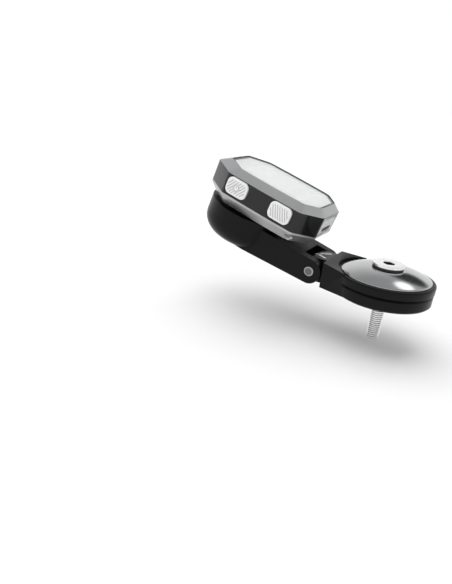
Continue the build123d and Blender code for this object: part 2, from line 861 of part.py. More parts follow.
with BuildPart() as cradle_arm:
    # the round cup, with its rounded underside
    with BuildSketch(TWIST_SECTION):
        with BuildLine():
            Polyline(
                (0, cup_bottom),
                (cup_foot_radius, cup_bottom),
            )
            ThreePointArc(
                (cup_foot_radius, cup_bottom),
                cup_bulge,
                (cup_radius, cup_wall_bottom),
            )
            Polyline(
                (cup_radius, cup_wall_bottom),
                (cup_radius, cup_rim),
                (0, cup_rim),
                (0, cup_bottom),
            )
        make_face()
    revolve(axis=TWIST_AXIS)
    # the straight arm behind it, which ends in the hinge knuckle
    with BuildSketch(PROFILE):
        with Locations((hinge_along, hinge_height)):
            Circle(knuckle_radius)
        Polygon(
            (twist_along, hinge_height + knuckle_radius),
            (hinge_along, hinge_height + knuckle_radius),
            (hinge_along, hinge_height - knuckle_radius),
            (0, cup_bottom),
            (twist_along, cup_bottom),
            align=None,
        )
    extrude(amount=arm_half_width, both=True)
    # fork for the tongue
    fork_length = 2 * knuckle_radius + fork_end
    with BuildSketch(PROFILE):
        with Locations((hinge_along + fork_end - fork_length / 2, hinge_height)):
            Rectangle(fork_length, -2 * cup_bottom)
    extrude(amount=ear_inner, both=True, mode=Mode.SUBTRACT)
    # seat of the insert, its screw holes and the pocket under the cup
    twist_disc(insert_radius + fitting_gap, insert_bottom, cup_rim, mode=Mode.SUBTRACT)
    twist_disc(pocket_radius, cup_bottom, cup_floor_bottom, mode=Mode.SUBTRACT)
    head_disc(
        insert_screw_radius, cup_floor_bottom, insert_bottom, at=insert_screw_places,
        mode=Mode.SUBTRACT,
    )
    # threaded ear on the left, plain ear with a sunk bolt head on the right
    cross_bore(hinge_reach, hinge_lift, hinge_bolt_radius, -arm_half_width, arm_half_width)
    cross_bore(
        hinge_reach, hinge_lift, bolt_head_radius + 2 * fitting_gap,
        arm_half_width - bolt_head_depth - fitting_gap, arm_half_width,
    )
finish(cradle_arm, "cradle_arm")

with BuildPart() as hinge_bolt:
    bolt_seat = arm_half_width - bolt_head_depth
    cross_bore(
        hinge_reach, hinge_lift, hinge_bolt_radius, -arm_half_width, bolt_seat, mode=Mode.ADD
    )
    tip_face = hinge_bolt.faces().sort_by(Axis.X)[0]
    chamfer(tip_face.edges(), bolt_tip_chamfer)
    cross_bore(
        hinge_reach, hinge_lift, bolt_head_radius, bolt_seat, arm_half_width - end_gap,
        mode=Mode.ADD,
    )
    with BuildSketch(Plane.YZ.offset(arm_half_width - end_gap)):
        with Locations((hinge_reach, hinge_lift)):
            RegularPolygon(socket_flats / 2, 6, major_radius=False)
    extrude(amount=-socket_reach, mode=Mode.SUBTRACT)
finish(hinge_bolt, "hinge_bolt")

# ---------------------------------------------------------------- base on the stem
washer_radius = knuckle_radius - 0.4
arm_top = 12.1
knuckle_gap = 0.7
arm_front = hinge_reach - knuckle_radius - knuckle_gap
horn_top = 10.6  # height of the crescent's two tips
horn_reach = 14.0
arm_flare = 17.0
arm_flare_reach = 13.5
waist_radius = seat_radius - 0.8
waist_height = 1.4
rim_round = 0.9
foot_chamfer = 0.8
crescent_gap = 1.4
spigot_radius = 12.0
spigot_depth = 1.4
relief_radius = 15.0
relief_depth = 2.5
steerer_bore = steerer_thread_radius + 3 * fitting_gap

with BuildPart() as base_arm:
    # the ring: a plain foot, a narrow waist and a rounded rim, as one turned profile
    with BuildSketch(Plane.XZ):
        with BuildLine():
            Polyline(
                (rim_radius - rim_round, rim_top),
                (0, rim_top),
                (0, 0),
                (seat_radius - foot_chamfer, 0),
                (seat_radius, foot_chamfer),
                (seat_radius, rim_underside - waist_height),
                (waist_radius, rim_underside - waist_height / 2),
                (rim_radius, rim_underside),
                (rim_radius, rim_top - rim_round),
            )
            RadiusArc(
                (rim_radius, rim_top - rim_round), (rim_radius - rim_round, rim_top), -rim_round
            )
        make_face()
    revolve(axis=Axis.Z)
    # the block that grows out of the ring and carries the tongue
    with BuildSketch():
        Polygon(
            (-arm_half_width, arm_front),
            (arm_half_width, arm_front),
            (arm_flare, arm_flare_reach),
            (arm_flare, 0),
            (-arm_flare, 0),
            (-arm_flare, arm_flare_reach),
            align=None,
        )
    extrude(amount=arm_top)
    with BuildSketch(Plane.XY.offset(rim_top)):
        Circle(cap_radius + crescent_gap)
    extrude(amount=arm_top, mode=Mode.SUBTRACT)
    # its top falls towards the crescent's tips
    with BuildSketch(Plane.YZ):
        Polygon(
            (arm_front, arm_top), (horn_reach, horn_top), (0, horn_top), (0, 2 * arm_top),
            (arm_front, 2 * arm_top), align=None,
        )
    extrude(amount=rim_radius, both=True, mode=Mode.SUBTRACT)
    # the tongue and its knuckle
    with BuildSketch(Plane.YZ):
        with Locations((hinge_reach, hinge_lift)):
            Circle(knuckle_radius)
        with Locations(((hinge_reach + arm_front) / 2, hinge_lift)):
            Rectangle(hinge_reach - arm_front + 2 * overrun, 2 * knuckle_radius)
    extrude(amount=tongue_half, both=True)
    cross_bore(
        hinge_reach, hinge_lift, hinge_bolt_radius + running_gap, -tongue_half, tongue_half
    )
    # the cap's seat, the bolt's hole and the relief over the steerer
    with BuildSketch(Plane.XY.offset(rim_top)):
        Circle(spigot_radius + fitting_gap)
    extrude(amount=-spigot_depth - fitting_gap, mode=Mode.SUBTRACT)
    with BuildSketch():
        Circle(relief_radius)
    extrude(amount=relief_depth, mode=Mode.SUBTRACT)
    with BuildSketch():
        Circle(steerer_bore)
    extrude(amount=rim_top, mode=Mode.SUBTRACT)
finish(base_arm, "base_arm")

with BuildPart() as hinge_washers:
    for side in (-1, 1):
        near = min(side * tongue_half, side * (tongue_half + washer_thickness))
        cross_bore(
            hinge_reach, hinge_lift, washer_radius, near, near + washer_thickness,
            mode=Mode.ADD,
        )
        cross_bore(
            hinge_reach, hinge_lift, hinge_bolt_radius + 2 * running_gap, near,
            near + washer_thickness,
        )
finish(hinge_washers, "hinge_washers")

# ---------------------------------------------------------------- top cap and steerer bolt
cap_edge = 0.5
cap_crown = 3.9
crown_radius = 8.0
crown_swell = 0.5
disc_radius = 7.4
disc_height = 1.1
disc_washer_thickness = 0.9
disc_washer_radius = 7.1
disc_edge = 0.25
thread_chamfer = 0.8
neck_radius = steerer_thread_radius + 2.0
neck_depth = 1.5
steerer_shank_radius = steerer_thread_radius - 0.4
hex_flats = 5.0
hex_depth = 3.0
crown_top = rim_top + cap_crown
neck_seat = crown_top - neck_depth
disc_bottom = crown_top + disc_washer_thickness
disc_top = disc_bottom + disc_height

with BuildPart() as top_cap:
    with BuildSketch(Plane.XZ):
        with BuildLine():
            Polyline(
                (0, rim_top - spigot_depth),
                (spigot_radius, rim_top - spigot_depth),
                (spigot_radius, rim_top),
                (cap_radius, rim_top),
                (cap_radius, rim_top + cap_edge),
            )
            ThreePointArc(
                (cap_radius, rim_top + cap_edge),
                (
                    (cap_radius + crown_radius) / 2,
                    rim_top + (cap_edge + cap_crown) / 2 + crown_swell,
                ),
                (crown_radius, crown_top),
            )
            Polyline(
                (crown_radius, crown_top),
                (neck_radius + 2 * fitting_gap, crown_top),
                (neck_radius + 2 * fitting_gap, neck_seat),
                (0, neck_seat),
                (0, rim_top - spigot_depth),
            )
        make_face()
    revolve(axis=Axis.Z)
    with BuildSketch(Plane.XY.offset(neck_seat)):
        Circle(steerer_bore)
    extrude(amount=-2 * cap_crown, mode=Mode.SUBTRACT)
finish(top_cap, "top_cap")

with BuildPart() as steerer_bolt:
    with BuildSketch(Plane.XY.offset(-steerer_bolt_reach)):
        Circle(steerer_thread_radius)
    extrude(amount=steerer_bolt_reach)
    chamfer(steerer_bolt.faces().sort_by(Axis.Z)[0].edges(), thread_chamfer)
    with BuildSketch():
        Circle(steerer_shank_radius)
    extrude(amount=neck_seat)
    with BuildSketch(Plane.XY.offset(neck_seat)):
        Circle(neck_radius)
    extrude(amount=disc_bottom - neck_seat)
    with BuildSketch(Plane.XY.offset(disc_bottom)):
        Circle(disc_radius)
    extrude(amount=disc_height)
    fillet(steerer_bolt.faces().sort_by(Axis.Z)[-1].edges(), disc_edge)
    with BuildSketch(Plane.XY.offset(disc_top)):
        RegularPolygon(hex_flats / 2, 6, major_radius=False)
    extrude(amount=-hex_depth, mode=Mode.SUBTRACT)
finish(steerer_bolt, "steerer_bolt")

with BuildPart() as disc_washer:
    with BuildSketch(Plane.XY.offset(crown_top)):
        Circle(disc_washer_radius)
        Circle(neck_radius + 2 * fitting_gap, mode=Mode.SUBTRACT)
    extrude(amount=disc_washer_thickness)
finish(disc_washer, "disc_washer")
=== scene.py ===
"""The looks of a cycling computer on its adjustable stem-cap mount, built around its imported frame.

The computer's own pieces are shaped in head millimetres (across, along its display and out of its
screen) and the mount's pieces in row millimetres, and both are placed in the row frame's metres.
"""

import json
import logging
import math
from collections.abc import Iterable
from dataclasses import dataclass, field
from enum import Enum

import bmesh
import bpy
from mathutils import Matrix, Vector


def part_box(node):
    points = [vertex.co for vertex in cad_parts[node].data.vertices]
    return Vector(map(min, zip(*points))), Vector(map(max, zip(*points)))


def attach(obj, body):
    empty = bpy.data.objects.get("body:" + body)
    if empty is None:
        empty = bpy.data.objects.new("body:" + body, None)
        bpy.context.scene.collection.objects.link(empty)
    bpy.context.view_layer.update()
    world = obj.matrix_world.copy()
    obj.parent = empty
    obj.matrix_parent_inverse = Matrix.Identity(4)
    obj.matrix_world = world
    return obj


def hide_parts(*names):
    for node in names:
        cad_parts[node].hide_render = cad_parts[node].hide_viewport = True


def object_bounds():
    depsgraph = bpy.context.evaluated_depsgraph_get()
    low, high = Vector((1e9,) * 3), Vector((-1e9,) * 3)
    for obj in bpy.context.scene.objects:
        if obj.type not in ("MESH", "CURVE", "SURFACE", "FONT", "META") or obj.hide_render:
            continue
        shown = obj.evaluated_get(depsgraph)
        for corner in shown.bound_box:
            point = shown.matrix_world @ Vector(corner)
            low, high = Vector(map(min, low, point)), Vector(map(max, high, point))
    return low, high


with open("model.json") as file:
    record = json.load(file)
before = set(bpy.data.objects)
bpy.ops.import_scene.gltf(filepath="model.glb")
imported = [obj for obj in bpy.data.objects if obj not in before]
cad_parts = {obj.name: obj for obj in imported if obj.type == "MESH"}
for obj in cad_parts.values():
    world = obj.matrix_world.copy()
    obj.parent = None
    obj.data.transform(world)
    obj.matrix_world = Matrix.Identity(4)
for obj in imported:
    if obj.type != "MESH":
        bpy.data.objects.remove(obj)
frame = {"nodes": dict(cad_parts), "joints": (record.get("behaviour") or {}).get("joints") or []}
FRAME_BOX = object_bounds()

LOG = logging.getLogger("cycling_computer")
MM = 0.001
SMOOTH_ANGLE = math.radians(32)
ROUND_STEPS = 128
HEXAGON = 6
NEAR = 1e-4
Socket = bpy.types.NodeSocket
Tree = bpy.types.NodeTree
Shape = bmesh.types.BMesh
Edges = list[bmesh.types.BMEdge]
Profile = list[tuple[float, float]]
Feeds = dict[str | int, object]


class Body(Enum):
    """The CAD bodies that a piece can ride on."""

    BASE = "base"
    CRADLE = "cradle"
    COMPUTER = "computer"
    WEATHER_CAP = "weather_cap"


class ButtonMark(Enum):
    """What a button carries on its face."""

    POWER = "power"
    PLAIN = "plain"


# ---------------------------------------------------------------- places
@dataclass(frozen=True)
class HeadAxes:
    """The computer's own axes in the row frame.

    Args:
        origin: the middle of the case on the line between bezel and band.
        along: the direction of the display's top.
        height: the direction out of the screen.
    """

    origin: Vector
    along: Vector
    height: Vector
    across: Vector = field(default_factory=lambda: Vector((1, 0, 0)))

    @classmethod
    def from_record(cls) -> "HeadAxes":
        """Work the axes out from the quarter-turn joint and the side band's upper edge.

        Returns:
            The axes of the case.
        """
        joint = next(j for j in frame["joints"] if j["name"] == "quarter_turn")
        height = Vector(joint["axis"]).normalized()
        along = height.cross(Vector((1, 0, 0))).normalized()
        band = [vertex.co for vertex in frame["nodes"]["side_band"].data.vertices]
        lifts = [point.dot(height) for point in band]
        reaches = [point.dot(along) for point in band]
        middle = along * (min(reaches) + max(reaches)) / 2
        return cls(origin=middle + height * max(lifts), along=along, height=height)

    def matrix(self) -> Matrix:
        """Return the matrix from head millimetres to row-frame metres."""
        turn = Matrix((self.across, self.along, self.height)).transposed().to_4x4()
        return Matrix.Translation(self.origin) @ turn @ Matrix.Scale(MM, 4)

    def box(self, node: str) -> tuple[Vector, Vector]:
        """Return a CAD node's lowest and highest corners in head millimetres.

        Args:
            node: the CAD node's name.

        Returns:
            The lowest and the highest corner.
        """
        inverse = self.matrix().inverted()
        points = [inverse @ vertex.co for vertex in frame["nodes"][node].data.vertices]
        lowest = Vector([min(point[axis] for point in points) for axis in range(3)])
        highest = Vector([max(point[axis] for point in points) for axis in range(3)])
        return lowest, highest


ROW = Matrix.Scale(MM, 4)


def row_box(node: str) -> tuple[Vector, Vector]:
    """Return a CAD node's lowest and highest corners in row millimetres."""
    lowest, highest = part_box(node)
    return lowest / MM, highest / MM


# ---------------------------------------------------------------- shared shader effects
def new_group(name: str, inputs: dict[str, float], outputs: dict[str, str]) -> Tree:
    """Return an empty shader group with named sockets.

    Args:
        name: the group's name.
        inputs: each float input and its usual value.
        outputs: each output and its socket type.

    Returns:
        The group, with its input and output nodes.
    """
    group = bpy.data.node_groups.new(name, "ShaderNodeTree")
    for label, value in inputs.items():
        socket = group.interface.new_socket(label, in_out="INPUT", socket_type="NodeSocketFloat")
        socket.default_value = value
    for label, kind in outputs.items():
        group.interface.new_socket(label, in_out="OUTPUT", socket_type=kind)
    group.nodes.new("NodeGroupInput")
    group.nodes.new("NodeGroupOutput")
    return group


def add_node(tree: Tree, kind: str, inputs: Feeds | None = None) -> bpy.types.Node:
    """Add a shader node and feed its inputs.

    Args:
        tree: the tree that it joins.
        kind: what follows ShaderNode in its type.
        inputs: a socket or a plain value for each input that is fed.

    Returns:
        The new node.
    """
    node = tree.nodes.new(f"ShaderNode{kind}")
    feed(tree, node, inputs or {})
    return node


def feed(tree: Tree, node: bpy.types.Node, inputs: Feeds) -> None:
    """Link each socket to its input of a node, and set each plain value."""
    for label, value in inputs.items():
        if isinstance(value, Socket):
            tree.links.new(value, node.inputs[label])
        else:
            node.inputs[label].default_value = value


def group_node(tree: Tree, group: Tree, inputs: Feeds) -> bpy.types.Node:
    """Add a node that uses a shader group.

    Args:
        tree: the tree that it joins.
        group: the shader group.
        inputs: a socket or a plain value for each input that is fed.

    Returns:
        The new node.
    """
    node = tree.nodes.new("ShaderNodeGroup")
    node.node_tree = group
    feed(tree, node, inputs)
    return node


def math_node(
    tree: Tree, operation: str, first: Socket | float, second: Socket | float = 0.0
) -> Socket:
    """Add a Math node.

    Args:
        tree: the tree that it joins.
        operation: what it does with its two sides.
        first: its first side.
        second: its second side.

    Returns:
        Its output.
    """
    node = add_node(tree, "Math", {0: first, 1: second})
    node.operation = operation
    return node.outputs[0]


def mix_node(tree: Tree, inputs: Feeds) -> bpy.types.Node:
    """Add a node that mixes two colours.

    Args:
        tree: the tree that it joins.
        inputs: a socket or a plain value for each input that is fed.

    Returns:
        The new node.
    """
    node = tree.nodes.new("ShaderNodeMix")
    node.data_type = "RGBA"
    feed(tree, node, inputs)
    return node


def grain_group() -> Tree:
    """Make the moulded or blasted grain: a fine even tooth under a broad, faint handling haze.

    Returns:
        The group, which gives the tooth as a height and the haze as a share.
    """
    group = new_group(
        "surface_grain",
        {"Scale": 2500.0, "Haze Scale": 60.0, "Haze": 0.5},
        {"Tooth": "NodeSocketFloat", "Haze": "NodeSocketFloat"},
    )
    given = group.nodes["Group Input"].outputs
    place = add_node(group, "TexCoord").outputs["Object"]
    tooth = add_node(group, "TexNoise", {
        "Vector": place, "Scale": given["Scale"], "Detail": 3.0, "Roughness": 0.6,
    })
    haze = add_node(group, "TexNoise", {
        "Vector": place, "Scale": given["Haze Scale"], "Detail": 4.0, "Distortion": 0.6,
    })
    swing = math_node(group, "SUBTRACT", haze.outputs["Fac"], 0.5)
    swing = math_node(group, "MULTIPLY", swing, given["Haze"])
    lifted = math_node(group, "ADD", swing, 0.5)
    feed(group, group.nodes["Group Output"], {"Tooth": tooth.outputs["Fac"], "Haze": lifted})
    return group


def groove_group() -> Tree:
    """Make lathe-turned grooves about the row frame's upright axis.

    Returns:
        The group, which gives the grooves as a height.
    """
    group = new_group("turned_grooves", {"Pitch": 4000.0}, {"Height": "NodeSocketFloat"})
    given = group.nodes["Group Input"].outputs
    place = add_node(group, "TexCoord").outputs["Object"]
    axes = add_node(group, "SeparateXYZ", {0: place}).outputs
    squares = [math_node(group, "MULTIPLY", axes[name], axes[name]) for name in ("X", "Y")]
    radius = math_node(group, "SQRT", math_node(group, "ADD", *squares))
    phase = math_node(group, "MULTIPLY", radius, given["Pitch"])
    noise = add_node(group, "TexNoise", {"Scale": 1.0, "Detail": 2.0})
    noise.noise_dimensions = "1D"
    feed(group, noise, {"W": phase})
    feed(group, group.nodes["Group Output"], {"Height": noise.outputs["Fac"]})
    return group


def stripe_group() -> Tree:
    """Make soft parallel stripes along the head, the unlit rows of a liquid crystal panel.

    Returns:
        The group, which gives the rows as a mask.
    """
    group = new_group(
        "panel_rows", {"Rows": 400.0, "Softness": 0.2}, {"Mask": "NodeSocketFloat"}
    )
    given = group.nodes["Group Input"].outputs
    place = add_node(group, "TexCoord").outputs["Object"]
    wave = add_node(group, "TexWave", {"Vector": place, "Scale": given["Rows"], "Detail": 0.0})
    wave.bands_direction = "Y"
    faded = math_node(group, "MULTIPLY", wave.outputs["Fac"], given["Softness"])
    feed(group, group.nodes["Group Output"], {"Mask": faded})
    return group


GRAIN = grain_group()
GROOVES = groove_group()
PANEL_ROWS = stripe_group()


# ---------------------------------------------------------------- finishes
@dataclass(frozen=True)
class Finish:
    """A solid finish with grain in its colour, roughness and surface.

    Args:
        slot: the record's material slot that it dresses.
        colour: its base colour.
        roughness: its mean roughness.
        metallic: 1 for bare metal, 0 for plastic, between them for paint with metal in it.
        coat: weight of a clear coat.
        coat_ior: the coat's index of refraction.
        coat_roughness: the coat's roughness.
        specular: strength of its reflections.
        grain: how fine its tooth is, in cycles per metre.
        depth: how deep the tooth is, in metres.
        shade: how far the haze shifts the colour.
        wear: how far the haze shifts the roughness.
        bump_strength: the bump's share of its full effect.
    """

    slot: str
    colour: tuple[float, float, float]
    roughness: float = 0.4
    metallic: float = 0.0
    coat: float = 0.0
    coat_ior: float = 1.5
    coat_roughness: float = 0.1
    specular: float = 0.5
    grain: float = 3000.0
    depth: float = 0.00001
    shade: float = 0.12
    wear: float = 0.15
    bump_strength: float = 0.6

    def material(self) -> bpy.types.Material:
        """Make the finish's node material.

        Returns:
            The new material.
        """
        material = bpy.data.materials.new(f"look_{self.slot}")
        material.use_nodes = True
        tree = material.node_tree
        grain = group_node(tree, GRAIN, {"Scale": self.grain}).outputs
        bump = add_node(tree, "Bump", {
            "Distance": self.depth, "Strength": self.bump_strength,
            "Height": self.relief(tree, grain["Tooth"]),
        })
        feed(tree, tree.nodes["Principled BSDF"], {
            "Metallic": self.metallic,
            "Coat Weight": self.coat,
            "Coat Roughness": self.coat_roughness,
            "Coat IOR": self.coat_ior,
            "Specular IOR Level": self.specular,
            "Base Color": self.tint(tree, grain["Haze"]),
            "Roughness": self.gloss(tree, grain["Haze"]),
            "Normal": bump.outputs["Normal"],
        })
        return material

    def tint(self, tree: Tree, haze: Socket) -> Socket:
        """Make the base colour a little darker and lighter with the haze.

        Args:
            tree: the material's node tree.
            haze: the haze's socket.

        Returns:
            The colour's socket.
        """
        dark = [channel * (1 - self.shade) for channel in self.colour]
        light = [min(1.0, channel * (1 + self.shade)) for channel in self.colour]
        mix = mix_node(tree, {"A": (*dark, 1), "B": (*light, 1), "Factor": haze})
        return mix.outputs["Result"]

    def gloss(self, tree: Tree, haze: Socket) -> Socket:
        """Shift the mean roughness with the haze.

        Args:
            tree: the material's node tree.
            haze: the haze's socket.

        Returns:
            The roughness's socket.
        """
        spread = add_node(tree, "MapRange", {
            "To Min": self.roughness * (1 - self.wear),
            "To Max": self.roughness * (1 + self.wear),
            "Value": haze,
        })
        return spread.outputs["Result"]

    def relief(self, tree: Tree, tooth: Socket) -> Socket:
        """Return the height socket that the bump reads."""
        return tooth


@dataclass(frozen=True)
class TurnedFinish(Finish):
    """A metal finish with fine grooves left by a lathe around the steerer's axis.

    Args:
        pitch: how many times the grooves vary in a metre.
        tooth_share: how much of the grain's tooth stays in them.
    """

    pitch: float = 4000.0
    tooth_share: float = 0.15

    def relief(self, tree: Tree, tooth: Socket) -> Socket:
        """Lay a trace of the tooth over the grooves.

        Args:
            tree: the material's node tree.
            tooth: the tooth's socket.

        Returns:
            The height's socket.
        """
        grooves = group_node(tree, GROOVES, {"Pitch": self.pitch})
        faint = math_node(tree, "MULTIPLY", tooth, self.tooth_share)
        return math_node(tree, "ADD", grooves.outputs["Height"], faint)


@dataclass(frozen=True)
class PanelFinish(Finish):
    """A switched-off liquid crystal panel, whose rows show faintly.

    Args:
        rows: the scale of its rows.
        softness: how strongly they show.
    """

    rows: float = 500.0
    softness: float = 0.2

    def relief(self, tree: Tree, tooth: Socket) -> Socket:
        """Return the panel's rows as a height."""
        rows = group_node(tree, PANEL_ROWS, {"Rows": self.rows, "Softness": self.softness})
        return rows.outputs["Mask"]


@dataclass(frozen=True)
class ClearFinish(Finish):
    """A clear, hard-coated plastic.

    Args:
        ior: its index of refraction.
    """

    ior: float = 1.49

    def material(self) -> bpy.types.Material:
        """Let light through the finish and keep its shadow clear.

        Returns:
            The new material.
        """
        material = super().material()
        tree = material.node_tree
        shader = tree.nodes["Principled BSDF"]
        feed(tree, shader, {"Transmission Weight": 1.0, "IOR": self.ior})
        mix = add_node(tree, "MixShader", {
            "Fac": add_node(tree, "LightPath").outputs["Is Shadow Ray"],
            1: shader.outputs["BSDF"],
            2: add_node(tree, "BsdfTransparent").outputs["BSDF"],
        })
        output = next(node for node in tree.nodes if node.type == "OUTPUT_MATERIAL")
        feed(tree, output, {"Surface": mix.outputs["Shader"]})
        return material


FINISHES = (
    Finish("bezel_metallic", (0.39, 0.395, 0.40), 0.4, metallic=0.6, coat=0.1, coat_roughness=0.3,
           grain=5000.0, depth=0.000006, shade=0.05),
    ClearFinish("lens_clear", (0.97, 0.98, 0.98), 0.03, depth=0.0, shade=0.01, wear=0.4),
    Finish("seal_black", (0.012, 0.012, 0.012), 0.6),
    Finish("border_grey", (0.66, 0.665, 0.665), 0.5, depth=0.000002, shade=0.03),
    PanelFinish("display_grey", (0.56, 0.57, 0.565), 0.3, depth=0.000004, shade=0.04),
    Finish("diffuser_white", (0.82, 0.83, 0.81), 0.6),
    Finish("band_black", (0.005, 0.005, 0.0055), 0.4, coat=1.0, coat_ior=1.4,
           coat_roughness=0.1, specular=0.06, grain=3500.0, depth=0.000004, shade=0.2),
    Finish("casing_silver", (0.42, 0.42, 0.425), 0.34, metallic=0.8, coat=0.25,
           coat_roughness=0.25, grain=5000.0, depth=0.000005, shade=0.06),
    Finish("button_white", (0.82, 0.82, 0.82), 0.38, coat=0.2, depth=0.000003, shade=0.03),
    Finish("flap_grey", (0.62, 0.625, 0.625), 0.5, grain=2500.0, shade=0.05),
    Finish("screw_steel", (0.50, 0.50, 0.51), 0.26, metallic=1.0),
    Finish("board_green", (0.01, 0.10, 0.045), 0.35, coat=0.5),
    Finish("battery_foil", (0.55, 0.56, 0.58), 0.4, metallic=0.6),
    Finish("foam_black", (0.03, 0.03, 0.03), 0.9, grain=1200.0, depth=0.0001),
    Finish("shield_tin", (0.62, 0.62, 0.61), 0.3, metallic=1.0),
    Finish("ceramic_cream", (0.72, 0.66, 0.54), 0.5),
    Finish("part_black", (0.03, 0.03, 0.03), 0.5),
    Finish("ribbon_amber", (0.45, 0.20, 0.03), 0.3, coat=0.4),
    Finish("switch_black", (0.04, 0.04, 0.04), 0.45),
    Finish("boss_grey", (0.07, 0.07, 0.075), 0.5, grain=2500.0),
    Finish("insert_black", (0.012, 0.012, 0.013), 0.32, grain=2500.0),
    Finish("anodised_black", (0.004, 0.004, 0.0045), 0.3, specular=0.14,
           grain=7000.0, depth=0.000006, shade=0.2),
    TurnedFinish("cap_polished", (0.46, 0.465, 0.47), 0.14, metallic=1.0, depth=0.0000012),
    TurnedFinish("bolt_bright", (0.88, 0.88, 0.89), 0.24, metallic=0.8, depth=0.000002),
    Finish("bolt_grey", (0.42, 0.42, 0.43), 0.3, metallic=1.0),
    Finish("washer_white", (0.68, 0.68, 0.66), 0.5),
    # painted shade inside the steerer bolt's hexagonal socket
    Finish("socket_painted_shade", (0.02, 0.02, 0.02), 0.5, metallic=0.5),
    # painted shade for the dimple in the hinge bolt's end
    Finish("dimple_painted_shade", (0.13, 0.13, 0.135), 0.4, metallic=0.7),
    Finish("mark_white", (0.80, 0.80, 0.80), 0.5, depth=0.000002),
    Finish("mark_grey", (0.30, 0.30, 0.31), 0.5, depth=0.000002),
    Finish("rib_shadow", (0.46, 0.46, 0.46), 0.5, depth=0.000002),
)
LOOKS = {finish.slot: finish.material() for finish in FINISHES}


# ---------------------------------------------------------------- making pieces
def shaded(mesh: bpy.types.Mesh) -> None:
    """Shade a mesh smooth, with its corners kept sharp."""
    mesh.shade_smooth()
    mesh.set_sharp_from_angle(angle=SMOOTH_ANGLE)


def make_piece(
    name: str, shape: Shape, place: Matrix, look: str, body: str,
    instead_of: Iterable[str] = (),
) -> bpy.types.Object:
    """Turn a finished bmesh into a piece that rides on a body.

    Args:
        name: the piece's name.
        shape: its closed shape, in the millimetres that place reads; it is freed here.
        place: the matrix from those millimetres to the row frame's metres.
        look: the material slot whose finish it takes.
        body: the CAD body that it rides on.
        instead_of: the CAD nodes that it stands for.

    Returns:
        The new object, at the origin with its place in its mesh.
    """
    bmesh.ops.remove_doubles(shape, verts=shape.verts, dist=0.0005)
    bmesh.ops.recalc_face_normals(shape, faces=shape.faces)
    shape.transform(place)
    mesh = bpy.data.meshes.new(name)
    shape.to_mesh(mesh)
    shape.free()
    shaded(mesh)
    mesh.materials.append(LOOKS[look])
    piece = bpy.data.objects.new(name, mesh)
    bpy.context.scene.collection.objects.link(piece)
    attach(piece, body)
    if instead_of:
        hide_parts(*instead_of)
    LOG.info("%s: %d faces on %s", name, len(mesh.polygons), body)
    return piece


def softened(node: str, body: Body, look: str, width: float, segments: int = 2) -> bpy.types.Object:
    """Return a copy of a CAD node with its sharp edges broken, which stands for it.

    Args:
        node: the CAD node.
        body: the body that it rides on.
        look: the material slot whose finish it takes.
        width: the width of the broken edges, in millimetres.
        segments: how many faces round each edge.

    Returns:
        The new object.
    """
    shape = bmesh.new()
    shape.from_mesh(frame["nodes"][node].data)
    bmesh.ops.remove_doubles(shape, verts=shape.verts, dist=0.000002)
    flat = math.radians(1.0)
    bmesh.ops.dissolve_limit(
        shape, angle_limit=flat, use_dissolve_boundaries=False, verts=shape.verts, edges=shape.edges
    )
    shape.transform(Matrix.Scale(1 / MM, 4))
    piece = make_piece(f"{node}_shell", shape, ROW, look, body.value, (node,))
    bevel = piece.modifiers.new("broken_edges", "BEVEL")
    bevel.width = width * MM
    bevel.segments = segments
    bevel.limit_method = "ANGLE"
    bevel.angle_limit = math.radians(40)
    bevel.harden_normals = False
    bevel.use_clamp_overlap = True
    return piece


def block(shape: Shape, size: tuple[float, float, float]) -> list[bmesh.types.BMVert]:
    """Add a block about the origin.

    Args:
        shape: the bmesh that it joins.
        size: its size along each axis.

    Returns:
        Its corners.
    """
    verts = bmesh.ops.create_cube(shape, size=1.0)["verts"]
    bmesh.ops.scale(shape, vec=size, verts=verts)
    return verts


def rounded(shape: Shape, geom: list, radius: float, segments: int, affect: str = "EDGES") -> dict:
    """Round some corners or edges of a shape.

    Args:
        shape: the bmesh that they are in.
        geom: the vertices or edges.
        radius: how far back the rounding starts.
        segments: how many faces or edges make it.
        affect: what is rounded, VERTICES or EDGES.

    Returns:
        What the bevel made.
    """
    return bmesh.ops.bevel(
        shape, geom=geom, offset=radius, segments=segments, profile=0.5, affect=affect,
        material=-1,
    )


def spun(profile: Profile, steps: int = ROUND_STEPS) -> Shape:
    """Turn a round shape from a profile of (radius, height) points.

    Args:
        profile: the outline from one pole on the axis to the other.
        steps: how many faces go round.

    Returns:
        The new shape.
    """
    shape = bmesh.new()
    verts = [shape.verts.new((radius, 0, lift)) for radius, lift in profile]
    edges = [shape.edges.new(pair) for pair in zip(verts, verts[1:])]
    bmesh.ops.spin(
        shape, geom=verts + edges, cent=(0, 0, 0), axis=(0, 0, 1), angle=math.tau,
        steps=steps, use_merge=True,
    )
    bmesh.ops.remove_doubles(shape, verts=shape.verts, dist=0.0001)
    return shape


def eased(profile: Profile, radius: float, steps: int = 4) -> Profile:
    """Round each inner corner of a profile.

    Args:
        profile: (radius, height) points whose two ends stay as they are.
        radius: how far from each corner the rounding starts, at most.
        steps: how many points make each corner.

    Returns:
        The rounded profile.
    """
    points = [Vector(point) for point in profile]
    result = [points[0]]
    most = 0.45
    for before, corner, after in zip(points, points[1:], points[2:]):
        reach = min(radius, (before - corner).length * most, (after - corner).length * most)
        start = corner + (before - corner).normalized() * reach
        end = corner + (after - corner).normalized() * reach
        for step in range(steps + 1):
            share = step / steps
            near = start.lerp(corner, share)
            far = corner.lerp(end, share)
            result.append(near.lerp(far, share))
    result.append(points[-1])
    return [(point.x, point.y) for point in result]


